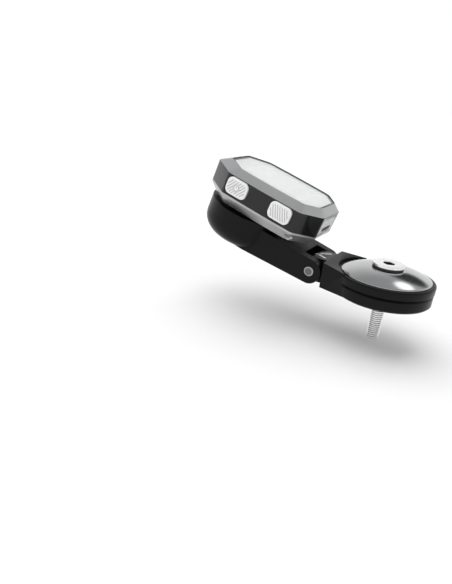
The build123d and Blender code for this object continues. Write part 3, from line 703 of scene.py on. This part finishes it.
# ---------------------------------------------------------------- the case
@dataclass
class Case:
    """The computer's case: bezel, lens, screen, side band and lower casing.

    Args:
        axes: the computer's own axes.
        front_cut: corner cut off across and along at the front, in millimetres.
        rear_cut: the same at the rear.
        side_bow: how far the long sides swell between the corners.
        corner_round: radius of the plan's corners.
        corner_turn: half the turn at a corner, in degrees.
        ledge: how far the bezel reaches in under the lens.
        crest_gap: the gap between the bezel's crest and the seal's line.
        edge_break: the width of the lens's rolled edge.
        face_clearance: the gap that keeps the panel's glass off its neighbours.
        seal_width: the seal line's width beside the gap.
        seal_drop: how far the seal line lies under the bezel's top.
        grip_depth: how far the painted shade of the weather cap's slot reaches through its face.
        grip_lift: the middle of that painted shade above the weather cap's foot.
    """

    axes: HeadAxes
    front_cut: tuple[float, float] = (10.1, 12.3)
    rear_cut: tuple[float, float] = (10.1, 8.5)
    side_bow: float = 0.5
    corner_round: float = 3.0
    corner_turn: float = 24.0
    corner_steps: int = 8
    side_steps: int = 15
    ledge: float = 1.6
    crest_gap: float = 0.1
    edge_break: float = 0.3
    border_overlap: float = 1.0
    face_clearance: float = 0.02
    seal_width: float = 0.9
    seal_drop: float = 0.12
    grip_length: float = 10.6
    grip_height: float = 1.9
    grip_depth: float = 0.3
    grip_lift: float = 2.3

    def __post_init__(self) -> None:
        """Read the case's overall sizes from the frame."""
        band_high = self.axes.box("side_band")[1]
        self.half_width = band_high.x
        self.half_length = band_high.y
        lens_low, lens_high = self.axes.box("lens")
        self.window_side = self.half_width - lens_high.x - self.crest_gap
        self.window_front = self.half_length - lens_high.y - self.crest_gap
        self.window_rear = self.half_length + lens_low.y - self.crest_gap
        self.lens_bottom, self.lens_top = lens_low.z, lens_high.z
        self.bezel_top = self.axes.box("bezel")[1].z
        self.ledge_top = self.axes.box("lens_gasket")[0].z

    def corner_cut(self, cut: tuple[float, float], side: float, end: float) -> tuple[float, float]:
        """Work out the corner cut that is left when the plan shrinks.

        Args:
            cut: the full plan's cut, across and along.
            side: how far the flank shrinks.
            end: how far the end shrinks.

        Returns:
            The cut across and along.
        """
        across, along = cut
        slant = math.hypot(across, along)
        corner = (side + end) / 2
        return (
            across + corner * slant / along - across * end / along - side,
            along + corner * slant / across - along * side / across - end,
        )

    def plan(self, shape: Shape, height: float, side: float, front: float, rear: float) -> None:
        """Add the case's eight-sided plan at a height, as a loop of edges.

        Args:
            shape: the bmesh that it joins.
            height: its height in the head.
            side: how far it shrinks at its flanks.
            front: how far it shrinks at its front.
            rear: how far it shrinks at its rear.
        """
        corner = self.half_width - side - self.side_bow
        top, bottom = self.half_length - front, rear - self.half_length
        front_across, front_along = self.corner_cut(self.front_cut, side, front)
        rear_across, rear_along = self.corner_cut(self.rear_cut, side, rear)
        right = [
            (corner - front_across, top), (corner, top - front_along),
            (corner, bottom + rear_along), (corner - rear_across, bottom),
        ]
        left = [(-across, along) for across, along in reversed(right)]
        others = set(shape.edges)
        tangent = self.corner_round * math.tan(math.radians(self.corner_turn))
        verts = [shape.verts.new((across, along, height)) for across, along in right + left]
        shape.faces.new(verts)
        rounded(shape, verts, tangent, self.corner_steps, "VERTICES")
        bmesh.ops.delete(shape, geom=list(shape.faces), context="FACES_ONLY")
        sides = [
            edge for edge in shape.edges
            if edge not in others
            and all(abs(abs(vert.co.x) - corner) < NEAR for vert in edge.verts)
        ]
        bmesh.ops.subdivide_edges(shape, edges=sides, cuts=self.side_steps)
        loop = [edge for edge in shape.edges if edge not in others]
        middle = (top - front_along + bottom + rear_along) / 2
        half = (top - front_along - bottom - rear_along) / 2
        for vert in {vert for edge in loop for vert in edge.verts}:
            reach = abs(vert.co.y - middle) / half
            if reach < 1 and abs(abs(vert.co.x) - corner) < NEAR:
                vert.co.x += math.copysign(self.side_bow * (1 - reach * reach), vert.co.x)

    def stack(self, levels: list[tuple[float, float, float, float]], closed: bool) -> Shape:
        """Bridge a shape through plans of the case.

        Args:
            levels: each plan's height and its shrinking at the side, the front and the rear.
            closed: whether the last plan joins the first; if not, both ends are filled.

        Returns:
            The new shape.
        """
        shape = bmesh.new()
        for level in levels:
            self.plan(shape, *level)
        shape.edges.ensure_lookup_table()
        count = len(shape.edges) // len(levels)
        edges = list(shape.edges)
        loops = [edges[start:start + count] for start in range(0, len(edges), count)]
        pairs = list(zip(loops, loops[1:]))
        if closed:
            pairs.append((loops[-1], loops[0]))
        for lower, upper in pairs:
            bmesh.ops.bridge_loops(shape, edges=lower + upper)
        if not closed:
            for loop in (loops[0], loops[-1]):
                bmesh.ops.contextual_create(shape, geom=loop)
        return shape

    def slope(self, share: float, more: float = 0.0) -> tuple[float, float, float]:
        """Work out how far the plan shrinks on the bezel's slope.

        Args:
            share: the share of the way up.
            more: how much farther it shrinks all round.

        Returns:
            The shrinking at the side, the front and the rear.
        """
        return (
            self.window_side * share + more,
            self.window_front * share + more,
            self.window_rear * share + more,
        )

    def place(self, name: str, shape: Shape, look: str, instead_of: tuple[str, ...] = ()) -> None:
        """Make a piece of the computer from a shape in head millimetres.

        Args:
            name: the piece's name.
            shape: its closed shape.
            look: the material slot whose finish it takes.
            instead_of: the CAD nodes that it stands for.
        """
        make_piece(name, shape, self.axes.matrix(), look, Body.COMPUTER.value, instead_of)

    def bezel(self) -> None:
        """Build the sloped bezel with a rolled lower edge and a fine crest round the lens."""
        foot, crest, crest_edge, crest_top = 0.05, 0.94, 0.975, 0.995
        foot_roll, foot_rise, crest_roll, crest_dip = (0.25, 0.08), 0.05, 0.06, 0.02
        ledge = self.slope(1, self.ledge)
        gap = self.slope(1, self.crest_gap)
        levels = [
            (0.0, *[foot_roll[0]] * 3),
            (foot_rise, *[foot_roll[1]] * 3),
            (foot * self.bezel_top + foot_rise, *self.slope(foot)),
            (crest * self.bezel_top, *self.slope(crest)),
            (self.bezel_top - crest_roll, *self.slope(crest_edge)),
            (self.bezel_top, *self.slope(crest_top)),
            (self.bezel_top - crest_dip, *gap),
            (self.ledge_top, *gap),
            (self.ledge_top, *ledge),
            (0.0, *ledge),
        ]
        self.place("bezel_frame", self.stack(levels, closed=True), "bezel_metallic", ("bezel",))

    def lens(self) -> None:
        """Build the clear lens with a polished, rolled edge."""
        edge, outside = self.edge_break, 2 * self.crest_gap
        roll = edge * 0.3
        levels = [
            (self.lens_bottom, *self.slope(1, outside + 2 * edge)),
            (self.lens_bottom, *self.slope(1, outside)),
            (self.lens_top - edge, *self.slope(1, outside)),
            (self.lens_top - roll, *self.slope(1, outside + roll)),
            (self.lens_top, *self.slope(1, outside + edge)),
            (self.lens_top, *self.slope(1, outside + 2 * edge)),
        ]
        self.place("lens_window", self.stack(levels, closed=False), "lens_clear", ("lens",))

    def display_face(self) -> None:
        """Build the panel's front glass, which fills the border's opening up to the lens."""
        lowest, highest = self.axes.box("display_panel")
        margin = self.border_overlap + self.face_clearance
        top = self.lens_bottom - self.face_clearance
        width, length = highest.x - lowest.x - 2 * margin, highest.y - lowest.y - 2 * margin
        shape = bmesh.new()
        block(shape, (width, length, top - highest.z))
        middle = ((lowest.x + highest.x) / 2, (lowest.y + highest.y) / 2, (highest.z + top) / 2)
        bmesh.ops.translate(shape, vec=middle, verts=shape.verts)
        self.place("display_face", shape, "display_grey")

    def seal_line(self) -> None:
        """Build the black line of the seal that shows between the lens and the bezel."""
        outer = self.slope(1, self.crest_gap)
        inner = self.slope(1, (1 + self.seal_width) * self.crest_gap)
        top = self.bezel_top - self.seal_drop
        levels = [
            (self.ledge_top, *outer), (top, *outer), (top, *inner), (self.ledge_top, *inner),
        ]
        self.place("lens_seal_line", self.stack(levels, closed=True), "seal_black")

    def flap_grip(self) -> None:
        """Build a thin black sheet in the weather cap's face: painted shade where a finger nail
        lifts the cap.
        """
        foot = self.axes.box("weather_cap")[0].z
        sunk, end_round = 0.1, self.grip_height * 0.48
        shape = bmesh.new()
        block(shape, (self.grip_length, self.grip_depth, self.grip_height))
        through = [
            edge for edge in shape.edges
            if abs(edge.verts[0].co.y - edge.verts[1].co.y) > self.grip_depth / 2
        ]
        rounded(shape, through, end_round, 6)
        middle = (0, sunk - self.half_length, foot + self.grip_lift)
        bmesh.ops.translate(shape, vec=middle, verts=shape.verts)
        # The black sheet is painted shade, not a cut slot.
        make_piece("weather_cap_grip_shade", shape, self.axes.matrix(), "seal_black",
                   Body.WEATHER_CAP.value)

    def build(self) -> None:
        """Build the case's pieces."""
        self.bezel()
        self.lens()
        self.display_face()
        self.seal_line()
        self.flap_grip()
        softened("side_band", Body.COMPUTER, "band_black", 0.18)
        softened("lower_casing", Body.COMPUTER, "casing_silver", 0.3, 3)
        softened("weather_cap", Body.WEATHER_CAP, "flap_grey", 0.2)


# ---------------------------------------------------------------- the buttons
@dataclass
class Button:
    """One side button with ribs moulded across its face.

    Args:
        axes: the computer's own axes.
        node: the CAD node and body that it dresses.
        mark: what its face carries besides the ribs.
        lean: how far the ribs lean from the head's upright, towards its front, in degrees.
        rib_gap: how far the ribs keep from the icon's ring.
        shortest_rib: the shortest stretch of a rib that is moulded.
        ground_margin: how much smaller the painted shade under the ribs is, all round, than the
            ribbed field.
        icon_gap: how much of the icon's ring is open, in degrees.
    """

    axes: HeadAxes
    node: str
    mark: ButtonMark
    lean: float
    rib_pitch: float = 1.15
    rib_width: float = 0.74
    rib_height: float = 0.16
    face_margin: float = 0.9
    face_round: float = 1.8
    panel_height: float = 0.03
    rib_gap: float = 0.4
    shortest_rib: float = 0.7
    ground_margin: float = 0.15
    icon_radius: float = 1.35
    icon_line: float = 0.28
    icon_gap: float = 62.0

    def face(self) -> tuple[Matrix, float, float]:
        """Measure the button's outer face.

        Returns:
            The matrix from the face's own axes to the row frame, and half the face's length
            and height.
        """
        lowest, highest = self.axes.box(self.node)
        side = math.copysign(1, lowest.x + highest.x)
        outer = highest.x if side > 0 else lowest.x
        middle = (lowest + highest) / 2
        columns = (Vector((0, side, 0)), Vector((0, 0, 1)), Vector((side, 0, 0)))
        turn = Matrix(columns).transposed().to_4x4()
        place = Matrix.Translation((outer, middle.y, middle.z)) @ turn
        half_length = (highest.y - lowest.y) / 2
        half_height = (highest.z - lowest.z) / 2
        return self.axes.matrix() @ place, half_length, half_height

    def bar(self, shape: Shape, length: float, width: float, place: Matrix) -> None:
        """Add a low rounded bar whose length runs along its own y axis.

        Args:
            shape: the bmesh that it joins.
            length: its length.
            width: its width.
            place: where it stands on the face.
        """
        made = block(shape, (width, length, 2 * self.rib_height))
        edges = {edge for vert in made for edge in vert.link_edges}
        result = rounded(shape, list(edges), self.rib_height * 0.8, 2)
        verts = {vert for face in result["faces"] for vert in face.verts}
        linked = {v for vert in verts for edge in vert.link_edges for v in edge.verts} | verts
        bmesh.ops.transform(shape, matrix=place, verts=list(linked))

    def ribs(self) -> None:
        """Build the ribs, cut to the rounded face and kept clear of any icon."""
        place, half_length, half_height = self.face()
        shape = bmesh.new()
        lean = math.radians(self.lean)
        turn = Matrix.Rotation(-lean, 4, "Z")
        inner_length = half_length - self.face_margin
        inner_height = half_height - self.face_margin
        reach = math.hypot(inner_length, inner_height)
        count = int(reach / self.rib_pitch)
        for step in range(-count, count + 1):
            offset = step * self.rib_pitch
            for low, high in self.spans(offset, lean, inner_length, inner_height):
                middle = Matrix.Translation((offset, (low + high) / 2, 0))
                self.bar(shape, high - low, self.rib_width, turn @ middle)
        make_piece(f"{self.node}_ribs", shape, place, "button_white", self.node)

    def spans(
        self, offset: float, lean: float, half_length: float, half_height: float
    ) -> list[tuple[float, float]]:
        """Return the stretches of one rib that stay on the face and off the icon.

        Args:
            offset: the rib's distance from the face's middle.
            lean: the ribs' lean in radians.
            half_length: half the ribbed length.
            half_height: half the ribbed height.

        Returns:
            Where each stretch starts and ends, along the rib.
        """
        round_off = self.face_round
        steps = 80
        reach = math.hypot(half_length, half_height)
        inside: list[float] = []
        for step in range(steps + 1):
            run = -reach + 2 * reach * step / steps
            across = offset * math.cos(lean) + run * math.sin(lean)
            up = run * math.cos(lean) - offset * math.sin(lean)
            over_x = max(abs(across) - (half_length - round_off), 0)
            over_y = max(abs(up) - (half_height - round_off), 0)
            away = math.hypot(across, up) > self.icon_radius + self.rib_gap
            clear = self.mark is ButtonMark.PLAIN or away
            if math.hypot(over_x, over_y) < round_off and clear:
                inside.append(run)
        pitch = 2 * reach / steps
        spans: list[tuple[float, float]] = []
        for run in inside:
            if spans and run - spans[-1][1] < 1.5 * pitch:
                spans[-1] = (spans[-1][0], run)
            else:
                spans.append((run, run))
        return [(low, high) for low, high in spans if high - low > self.shortest_rib]

    def panel(self) -> None:
        """Build the thin grey sheet under the ribs, painted shade that shows in the grooves between
        them.
        """
        place, half_length, half_height = self.face()
        margin = self.face_margin + self.ground_margin
        length, height = 2 * (half_length - margin), 2 * (half_height - margin)
        shape = bmesh.new()
        block(shape, (length, height, 2 * self.panel_height))
        upright = [edge for edge in shape.edges if edge.calc_length() < 3 * self.panel_height]
        rounded(shape, upright, self.face_round, 8)
        # The grey sheet is painted shade for the grooves, not a grey ground on the button.
        make_piece(f"{self.node}_ground", shape, place, "rib_shadow", self.node)

    def icon(self) -> None:
        """Build a plain power sign: an open ring with a bar in its gap."""
        place, _, _ = self.face()
        shape = bmesh.new()
        bmesh.ops.create_circle(
            shape, cap_ends=True, radius=self.icon_radius + self.rib_gap, segments=48,
            matrix=Matrix.Translation((0, 0, 2 * self.panel_height)),
        )
        bmesh.ops.solidify(shape, geom=shape.faces[:], thickness=2 * self.panel_height)
        make_piece(f"{self.node}_icon_ground", shape, place, "button_white", self.node)
        shape = bmesh.new()
        gap = math.radians(self.icon_gap)
        start = math.pi / 2 + gap / 2
        foot, crest = 0.5 * self.icon_line, 0.35 * self.icon_line
        corners = [
            shape.verts.new((self.icon_radius + across, 0, height))
            for across, height in (
                (-foot, 0), (foot, 0), (crest, self.rib_height), (-crest, self.rib_height),
            )
        ]
        section = shape.faces.new(corners)
        bmesh.ops.rotate(
            shape, cent=(0, 0, 0), matrix=Matrix.Rotation(start, 3, "Z"), verts=corners
        )
        bmesh.ops.spin(
            shape, geom=[section], cent=(0, 0, 0), axis=(0, 0, 1),
            angle=math.tau - gap, steps=40, use_duplicate=False,
        )
        bar_length, bar_lift = self.icon_radius * 1.15, self.icon_radius * 0.72
        self.bar(shape, bar_length, self.icon_line, Matrix.Translation((0, bar_lift, 0)))
        make_piece(f"{self.node}_icon", shape, place, "mark_grey", self.node)

    def build(self) -> None:
        """Build what the button's face carries."""
        self.panel()
        self.ribs()
        if self.mark is ButtonMark.POWER:
            self.icon()


# ---------------------------------------------------------------- cap and steerer bolt
@dataclass
class StemCap:
    """The polished cap on the ring, with the bolt that holds it.

    Args:
        swell: how far the cap's cone swells past a straight line.
        rim_ease: how far the rounding of the cap's rim reaches.
        seat_ease: the same at its seat.
        bolt_ease: the same on the bolt.
        socket_flats: the bolt's hexagon, across its flats.
        socket_lead: how far its mouth is tapered.
        socket_dip: how far its floor sinks to a point.
        thread_pitch: how far the thread climbs in a turn.
        thread_end: where the thread runs out, below the steerer's top.
        tip_chamfer: how far the tip is chamfered.
    """

    swell: float = 0.5
    crown_radius: float = 8.0
    cap_edge: float = 0.5
    cap_steps: int = 14
    rim_ease: float = 0.12
    seat_ease: float = 0.15
    bolt_ease: float = 0.22
    neck_gap: float = 0.2
    neck_depth: float = 1.5
    spigot_depth: float = 1.4
    spigot_radius: float = 12.0
    bore: float = 3.3
    disc_height: float = 1.1
    neck_radius: float = 5.0
    shank_radius: float = 2.6
    socket_flats: float = 5.0
    socket_depth: float = 3.0
    socket_lead: float = 0.3
    socket_dip: float = 0.5
    thread_radius: float = 3.0
    thread_pitch: float = 1.0
    thread_depth: float = 0.3
    thread_steps: int = 36
    thread_end: float = 0.4
    tip_chamfer: float = 0.5

    def cap(self) -> None:
        """Build the domed cap with a crisp rim and a sunk seat for the bolt's neck."""
        lowest, highest = row_box("top_cap")
        rim, rim_lift, crown = highest.x, lowest.z + self.spigot_depth, highest.z
        seat = crown - self.neck_depth
        neck = self.neck_radius + self.neck_gap
        dome = []
        for step in range(self.cap_steps + 1):
            share = step / self.cap_steps
            radius = rim + (self.crown_radius - rim) * share
            rise = self.cap_edge + (crown - rim_lift - self.cap_edge) * share
            dome.append((radius, rim_lift + rise + self.swell * 4 * share * (1 - share)))
        foot = [
            (self.bore, lowest.z), (self.spigot_radius, lowest.z),
            (self.spigot_radius, rim_lift), (rim, rim_lift),
        ]
        inside = [(neck, crown), (neck, seat), (self.bore, seat), (self.bore, lowest.z)]
        shape = spun(eased(foot + dome, self.rim_ease, 3) + eased(inside, self.seat_ease, 3))
        make_piece("top_cap_dome", shape, ROW, "cap_polished", Body.BASE.value, ("top_cap",))

    def bolt(self) -> None:
        """Build the flat-headed bolt with its hexagonal socket and a cut thread; the socket is
        darkened with painted shade.
        """
        lowest, highest = row_box("steerer_bolt")
        crown = row_box("top_cap")[1].z
        seat = crown - self.neck_depth
        disc, top = highest.x, highest.z
        bottom = top - self.disc_height
        root, chamfer = self.thread_radius - self.thread_depth, self.tip_chamfer
        profile = [
            (0, lowest.z), (root - chamfer, lowest.z), (root, lowest.z + chamfer),
            (root, -self.thread_end),
            (self.shank_radius, 0), (self.shank_radius, seat), (self.neck_radius, seat),
            (self.neck_radius, bottom), (disc, bottom), (disc, top), (self.socket_flats, top),
        ]
        shape = spun(eased(profile, self.bolt_ease), steps=ROUND_STEPS - ROUND_STEPS % HEXAGON)
        self.socket(shape, top)
        head = make_piece("steerer_bolt_head", shape, ROW, "bolt_bright", Body.BASE.value,
                          ("steerer_bolt",))
        # The socket's walls and floor take a near-black finish: painted shade in the deep hexagon.
        head.data.materials.append(LOOKS["socket_painted_shade"])
        mouth, reach = top - 0.2, 3
        for face in head.data.polygons:
            middle = face.center / MM
            if bottom - reach < middle.z < mouth and middle.xy.length < reach:
                face.material_index = 1
        self.thread(lowest.z)

    def hexagon(self, shape: Shape, corner: float, lift: float, count: int) -> Edges:
        """Add a hexagon of edges round the axis.

        Args:
            shape: the bmesh that it joins.
            corner: how far its corners are from the axis.
            lift: its height.
            count: how many edges make each side.

        Returns:
            Its edges.
        """
        turns = [math.tau * side / HEXAGON for side in range(HEXAGON)]
        corners = [
            Vector((corner * math.cos(turn), corner * math.sin(turn), lift)) for turn in turns
        ]
        verts = [
            shape.verts.new(near.lerp(far, step / count))
            for near, far in zip(corners, corners[1:] + corners[:1]) for step in range(count)
        ]
        return [shape.edges.new(pair) for pair in zip(verts, verts[1:] + verts[:1])]

    def socket(self, shape: Shape, top: float) -> None:
        """Close the head's open middle with a hexagonal socket that tapers at its mouth.

        Args:
            shape: the bolt's shape, open at its head.
            top: the head's upper face.
        """
        rim = [edge for edge in shape.edges if edge.is_boundary]
        corner = self.socket_flats / 2 / math.cos(math.pi / HEXAGON)
        lead, floor = self.socket_lead, top - self.socket_depth
        loops = [rim]
        for radius, lift in ((corner + lead, top), (corner, top - lead), (corner, floor)):
            loops.append(self.hexagon(shape, radius, lift, len(rim) // HEXAGON))
        for outer, inner in zip(loops, loops[1:]):
            bmesh.ops.bridge_loops(shape, edges=outer + inner)
        made = bmesh.ops.contextual_create(shape, geom=loops[-1])
        bmesh.ops.poke(shape, faces=made["faces"], offset=-self.socket_dip)

    def thread(self, tip: float) -> None:
        """Build the thread's ridge, a small wedge spun up the bolt in a helix.

        Args:
            tip: the height of the bolt's tip.
        """
        bite, lead_in, both_ends = 0.05, 0.9, 1.6
        root, crest = self.thread_radius - self.thread_depth - bite, self.thread_radius
        turns = int((-tip - both_ends) / self.thread_pitch)
        half = self.thread_pitch * 0.42
        flat = half * 0.2
        start = tip + lead_in
        shape = bmesh.new()
        wedge = [(root, -half), (crest, -flat), (crest, flat), (root, half)]
        verts = [shape.verts.new((radius, 0, start + lift)) for radius, lift in wedge]
        section = shape.faces.new(verts)
        bmesh.ops.spin(
            shape, geom=[section], cent=(0, 0, 0), axis=(0, 0, 1), angle=math.tau * turns,
            steps=turns * self.thread_steps, dvec=(0, 0, self.thread_pitch / self.thread_steps),
        )
        make_piece("steerer_bolt_thread", shape, ROW, "bolt_bright", Body.BASE.value)

    def build(self) -> None:
        """Build the cap and its bolt."""
        self.cap()
        self.bolt()


# ---------------------------------------------------------------- the mount
@dataclass
class Mount:
    """The cradle on its hinge and the arm that carries it.

    Args:
        mark_length: the length of each bar of the arrow.
        mark_lean: how far each bar leans from the arm's length, in degrees.
        mark_back: how far behind the steerer's axis the arm's top starts to curve.
        mark_overlap: how far the bars cross at the point, beside their width.
        mark_lift: how far the arrow and the bolt's face stand above what they lie on.
        dimple_shade_radius: the radius of the darker disc on the hinge bolt's end, painted shade for
            a dimple.
    """

    mark_length: float = 8.0
    mark_width: float = 1.2
    mark_lean: float = 35.0
    mark_back: float = 1.0
    mark_overlap: float = 0.2
    mark_steps: int = 10
    dimple_shade_radius: float = 1.75
    mark_lift: float = 0.03

    def mark(self) -> None:
        """Build the plain white arrow that shows which way the mount faces."""
        bolt_low, bolt_high = row_box("hinge_bolt")
        hinge = (bolt_low + bolt_high) / 2
        knuckle = row_box("base_arm")[1].y - hinge.y
        lean = math.radians(self.mark_lean)
        half, lift = self.mark_width / 2, self.mark_lift
        section = ((-half, -lift), (half, -lift), (half, lift), (-half, lift))
        shape = bmesh.new()
        for side in (-1, 1):
            overlap = self.mark_width * self.mark_overlap
            offset = side * (self.mark_length / 2 * math.sin(lean) - overlap)
            place = Matrix.Translation((offset, 0, 0)) @ Matrix.Rotation(side * lean, 4, "Z")
            start = -self.mark_length / 2
            corners = [place @ Vector((across, start, rise)) for across, rise in section]
            end = shape.faces.new([shape.verts.new(corner) for corner in corners])
            stride = place.to_3x3() @ Vector((0, self.mark_length / self.mark_steps, 0))
            for step in range(self.mark_steps):
                grown = bmesh.ops.extrude_face_region(shape, geom=[end])["geom"]
                if step:
                    bmesh.ops.delete(shape, geom=[end], context="FACES_ONLY")
                end = next(part for part in grown if isinstance(part, bmesh.types.BMFace))
                bmesh.ops.translate(shape, vec=stride, verts=end.verts)
        for vert in shape.verts:
            reach = vert.co.y - self.mark_back
            angle = max(reach, 0) / knuckle
            radius = knuckle + vert.co.z
            vert.co.y = hinge.y + min(reach, 0) + radius * math.sin(angle)
            vert.co.z = hinge.z + radius * math.cos(angle)
        make_piece("facing_mark", shape, ROW, "mark_white", Body.BASE.value)

    def bolt_end(self) -> None:
        """Build a darker disc on the hinge bolt's plain end, painted shade for a dimple in its
        middle.
        """
        lowest, highest = row_box("hinge_bolt")
        middle = (lowest + highest) / 2
        shape = bmesh.new()
        bmesh.ops.create_cone(
            shape, cap_ends=True, segments=48, radius1=self.dimple_shade_radius,
            radius2=self.dimple_shade_radius, depth=2 * self.mark_lift,
            matrix=Matrix.Translation((lowest.x, middle.y, middle.z))
            @ Matrix.Rotation(math.pi / 2, 4, "Y"),
        )
        make_piece("hinge_bolt_dimple_shade", shape, ROW, "dimple_painted_shade", Body.CRADLE.value)

    def build(self) -> None:
        """Build the mount's pieces."""
        softened("cradle_arm", Body.CRADLE, "anodised_black", 0.4, 3)
        softened("base_arm", Body.BASE, "anodised_black", 0.4, 3)
        softened("quarter_turn_insert", Body.CRADLE, "insert_black", 0.15)
        softened("quarter_turn_boss", Body.COMPUTER, "boss_grey", 0.15)
        softened("hinge_bolt", Body.CRADLE, "bolt_grey", 0.3, 3)
        self.mark()
        self.bolt_end()


# ---------------------------------------------------------------- the studio
@dataclass(frozen=True)
class Card:
    """A round card in the distant room that shows in the mirror-like pieces.

    Args:
        towards: the direction in which it stands.
        spread: its angular radius in degrees.
        brightness: how bright it is, beside the room's own 1.
        core: the share of its radius that is fully bright.
    """

    towards: tuple[float, float, float]
    spread: float
    brightness: float
    core: float = 0.6

    def over(self, tree: Tree, place: Socket, colour: Socket) -> Socket:
        """Lay this card over the room's colour.

        Args:
            tree: the world's node tree.
            place: the socket that holds the direction.
            colour: the room's colour so far.

        Returns:
            The colour with the card on it.
        """
        near = add_node(tree, "VectorMath", {0: place, 1: Vector(self.towards).normalized()})
        near.operation = "DOT_PRODUCT"
        edge = add_node(tree, "MapRange", {
            "From Min": math.cos(math.radians(self.spread)),
            "From Max": math.cos(math.radians(self.spread * self.core)),
            "Value": near.outputs["Value"],
        })
        edge.interpolation_type = "SMOOTHSTEP"
        card = (*[self.brightness] * 3, 1)
        mix = mix_node(tree, {"A": colour, "B": card, "Factor": edge.outputs["Result"]})
        mix.clamp_result = False
        return mix.outputs["Result"]


@dataclass
class Studio:
    """A pale floor, soft lights and the camera.

    Args:
        viewpoint: the camera's place in the row frame, in metres.
        heading: where it looks, in degrees from +Y towards +X.
        pitch: how far it looks up, in degrees.
        roll: how far it leans to its left, in degrees.
        lens: its focal length in millimetres.
        sensor: its sensor's width in millimetres.
        sky_angle: how wide the soft light is, in degrees.
        sky_strength: how strong it is.
        sky_from: the direction that it comes from.
        cards: the cards laid over the room's light, in order.
    """

    viewpoint: tuple[float, float, float] = (-0.2477, -0.0473, 0.0876)
    heading: float = 62.53
    pitch: float = -21.54
    roll: float = 6.86
    lens: float = 33.9
    sensor: float = 36.0
    floor_size: float = 8.0
    floor_gap: float = 0.001
    sky_angle: float = 70.0
    sky_strength: float = 1.9
    sky_from: tuple[float, float, float] = (0.1, 0.35, 1.0)
    cards: tuple[Card, ...] = (
        Card((0.86, -0.02, 0.50), 13.0, 0.05),
        Card((0.64, -0.10, 0.76), 8.0, 2.5),
    )

    def floor(self) -> None:
        """Lay the floor just under the object."""
        shape = bmesh.new()
        bmesh.ops.create_grid(shape, x_segments=1, y_segments=1, size=self.floor_size / 2)
        mesh = bpy.data.meshes.new("floor")
        shape.to_mesh(mesh)
        shape.free()
        material = bpy.data.materials.new("floor_pale")
        material.use_nodes = True
        tree = material.node_tree
        feed(tree, tree.nodes["Principled BSDF"], {
            "Base Color": (0.86, 0.86, 0.86, 1), "Roughness": 0.9,
        })
        mesh.materials.append(material)
        floor = bpy.data.objects.new("floor", mesh)
        floor.location.z = FRAME_BOX[0].z - self.floor_gap
        bpy.context.scene.collection.objects.link(floor)

    def surroundings(self) -> None:
        """Fill the room with pale light that is darker overhead, with the cards laid over it."""
        world = bpy.data.worlds.new("studio")
        bpy.context.scene.world = world
        world.use_nodes = True
        tree = world.node_tree
        place = add_node(tree, "TexCoord").outputs["Generated"]
        upward = add_node(tree, "SeparateXYZ", {0: place}).outputs["Z"]
        ramp = add_node(tree, "ValToRGB", {"Fac": upward})
        around, overhead = ramp.color_ramp.elements
        around.position, around.color = 0.4, (1.0, 1.0, 1.0, 1)
        overhead.position, overhead.color = 0.75, (0.5, 0.5, 0.5, 1)
        colour = ramp.outputs["Color"]
        for card in self.cards:
            colour = card.over(tree, place, colour)
        feed(tree, tree.nodes["Background"], {"Color": colour, "Strength": 1.0})

    def sky(self) -> None:
        """Hang one broad, even light over the whole floor."""
        lamp = bpy.data.lights.new("sky_softbox", "SUN")
        lamp.angle = math.radians(self.sky_angle)
        lamp.energy = self.sky_strength
        holder = bpy.data.objects.new("sky_softbox", lamp)
        holder.visible_glossy = False
        holder.rotation_euler = Vector(self.sky_from).to_track_quat("Z", "Y").to_euler()
        bpy.context.scene.collection.objects.link(holder)

    def camera(self) -> None:
        """Place the camera at the viewpoint with its heading, pitch and roll."""
        heading, pitch, roll = map(math.radians, (self.heading, self.pitch, self.roll))
        level_share = math.cos(pitch)
        forward = Vector((
            math.sin(heading) * level_share, math.cos(heading) * level_share, math.sin(pitch)
        ))
        level = Vector((math.cos(heading), -math.sin(heading), 0))
        upright = level.cross(forward)
        right = level * math.cos(roll) + upright * math.sin(roll)
        up = upright * math.cos(roll) - level * math.sin(roll)
        data = bpy.data.cameras.new("camera")
        data.lens = self.lens
        data.sensor_width = self.sensor
        data.clip_start = 0.01
        camera = bpy.data.objects.new("camera", data)
        turn = Matrix((right, up, -forward)).transposed().to_4x4()
        camera.matrix_world = Matrix.Translation(self.viewpoint) @ turn
        bpy.context.scene.collection.objects.link(camera)
        bpy.context.scene.camera = camera

    def build(self) -> None:
        """Set up the stage."""
        bpy.context.scene.view_settings.view_transform = "Standard"
        self.floor()
        self.surroundings()
        self.camera()
        self.sky()


def dress_nodes() -> None:
    """Give each CAD node the finish of its record slot."""
    for name, node in frame["nodes"].items():
        for holder in node.material_slots:
            holder.material = LOOKS[holder.material.name.split(".")[0]]
        LOG.info("%s: dressed", name)


def main() -> None:
    """Build the object's looks and its studio."""
    logging.basicConfig(level=logging.INFO, format="%(message)s")
    axes = HeadAxes.from_record()
    dress_nodes()
    Case(axes).build()
    for side in ("left", "right"):
        Button(axes, f"button_{side}_front", ButtonMark.POWER, 37.0).build()
        Button(axes, f"button_{side}_rear", ButtonMark.PLAIN, -25.0).build()
    StemCap().build()
    Mount().build()
    Studio().build()


if __name__ == "__main__":
    main()
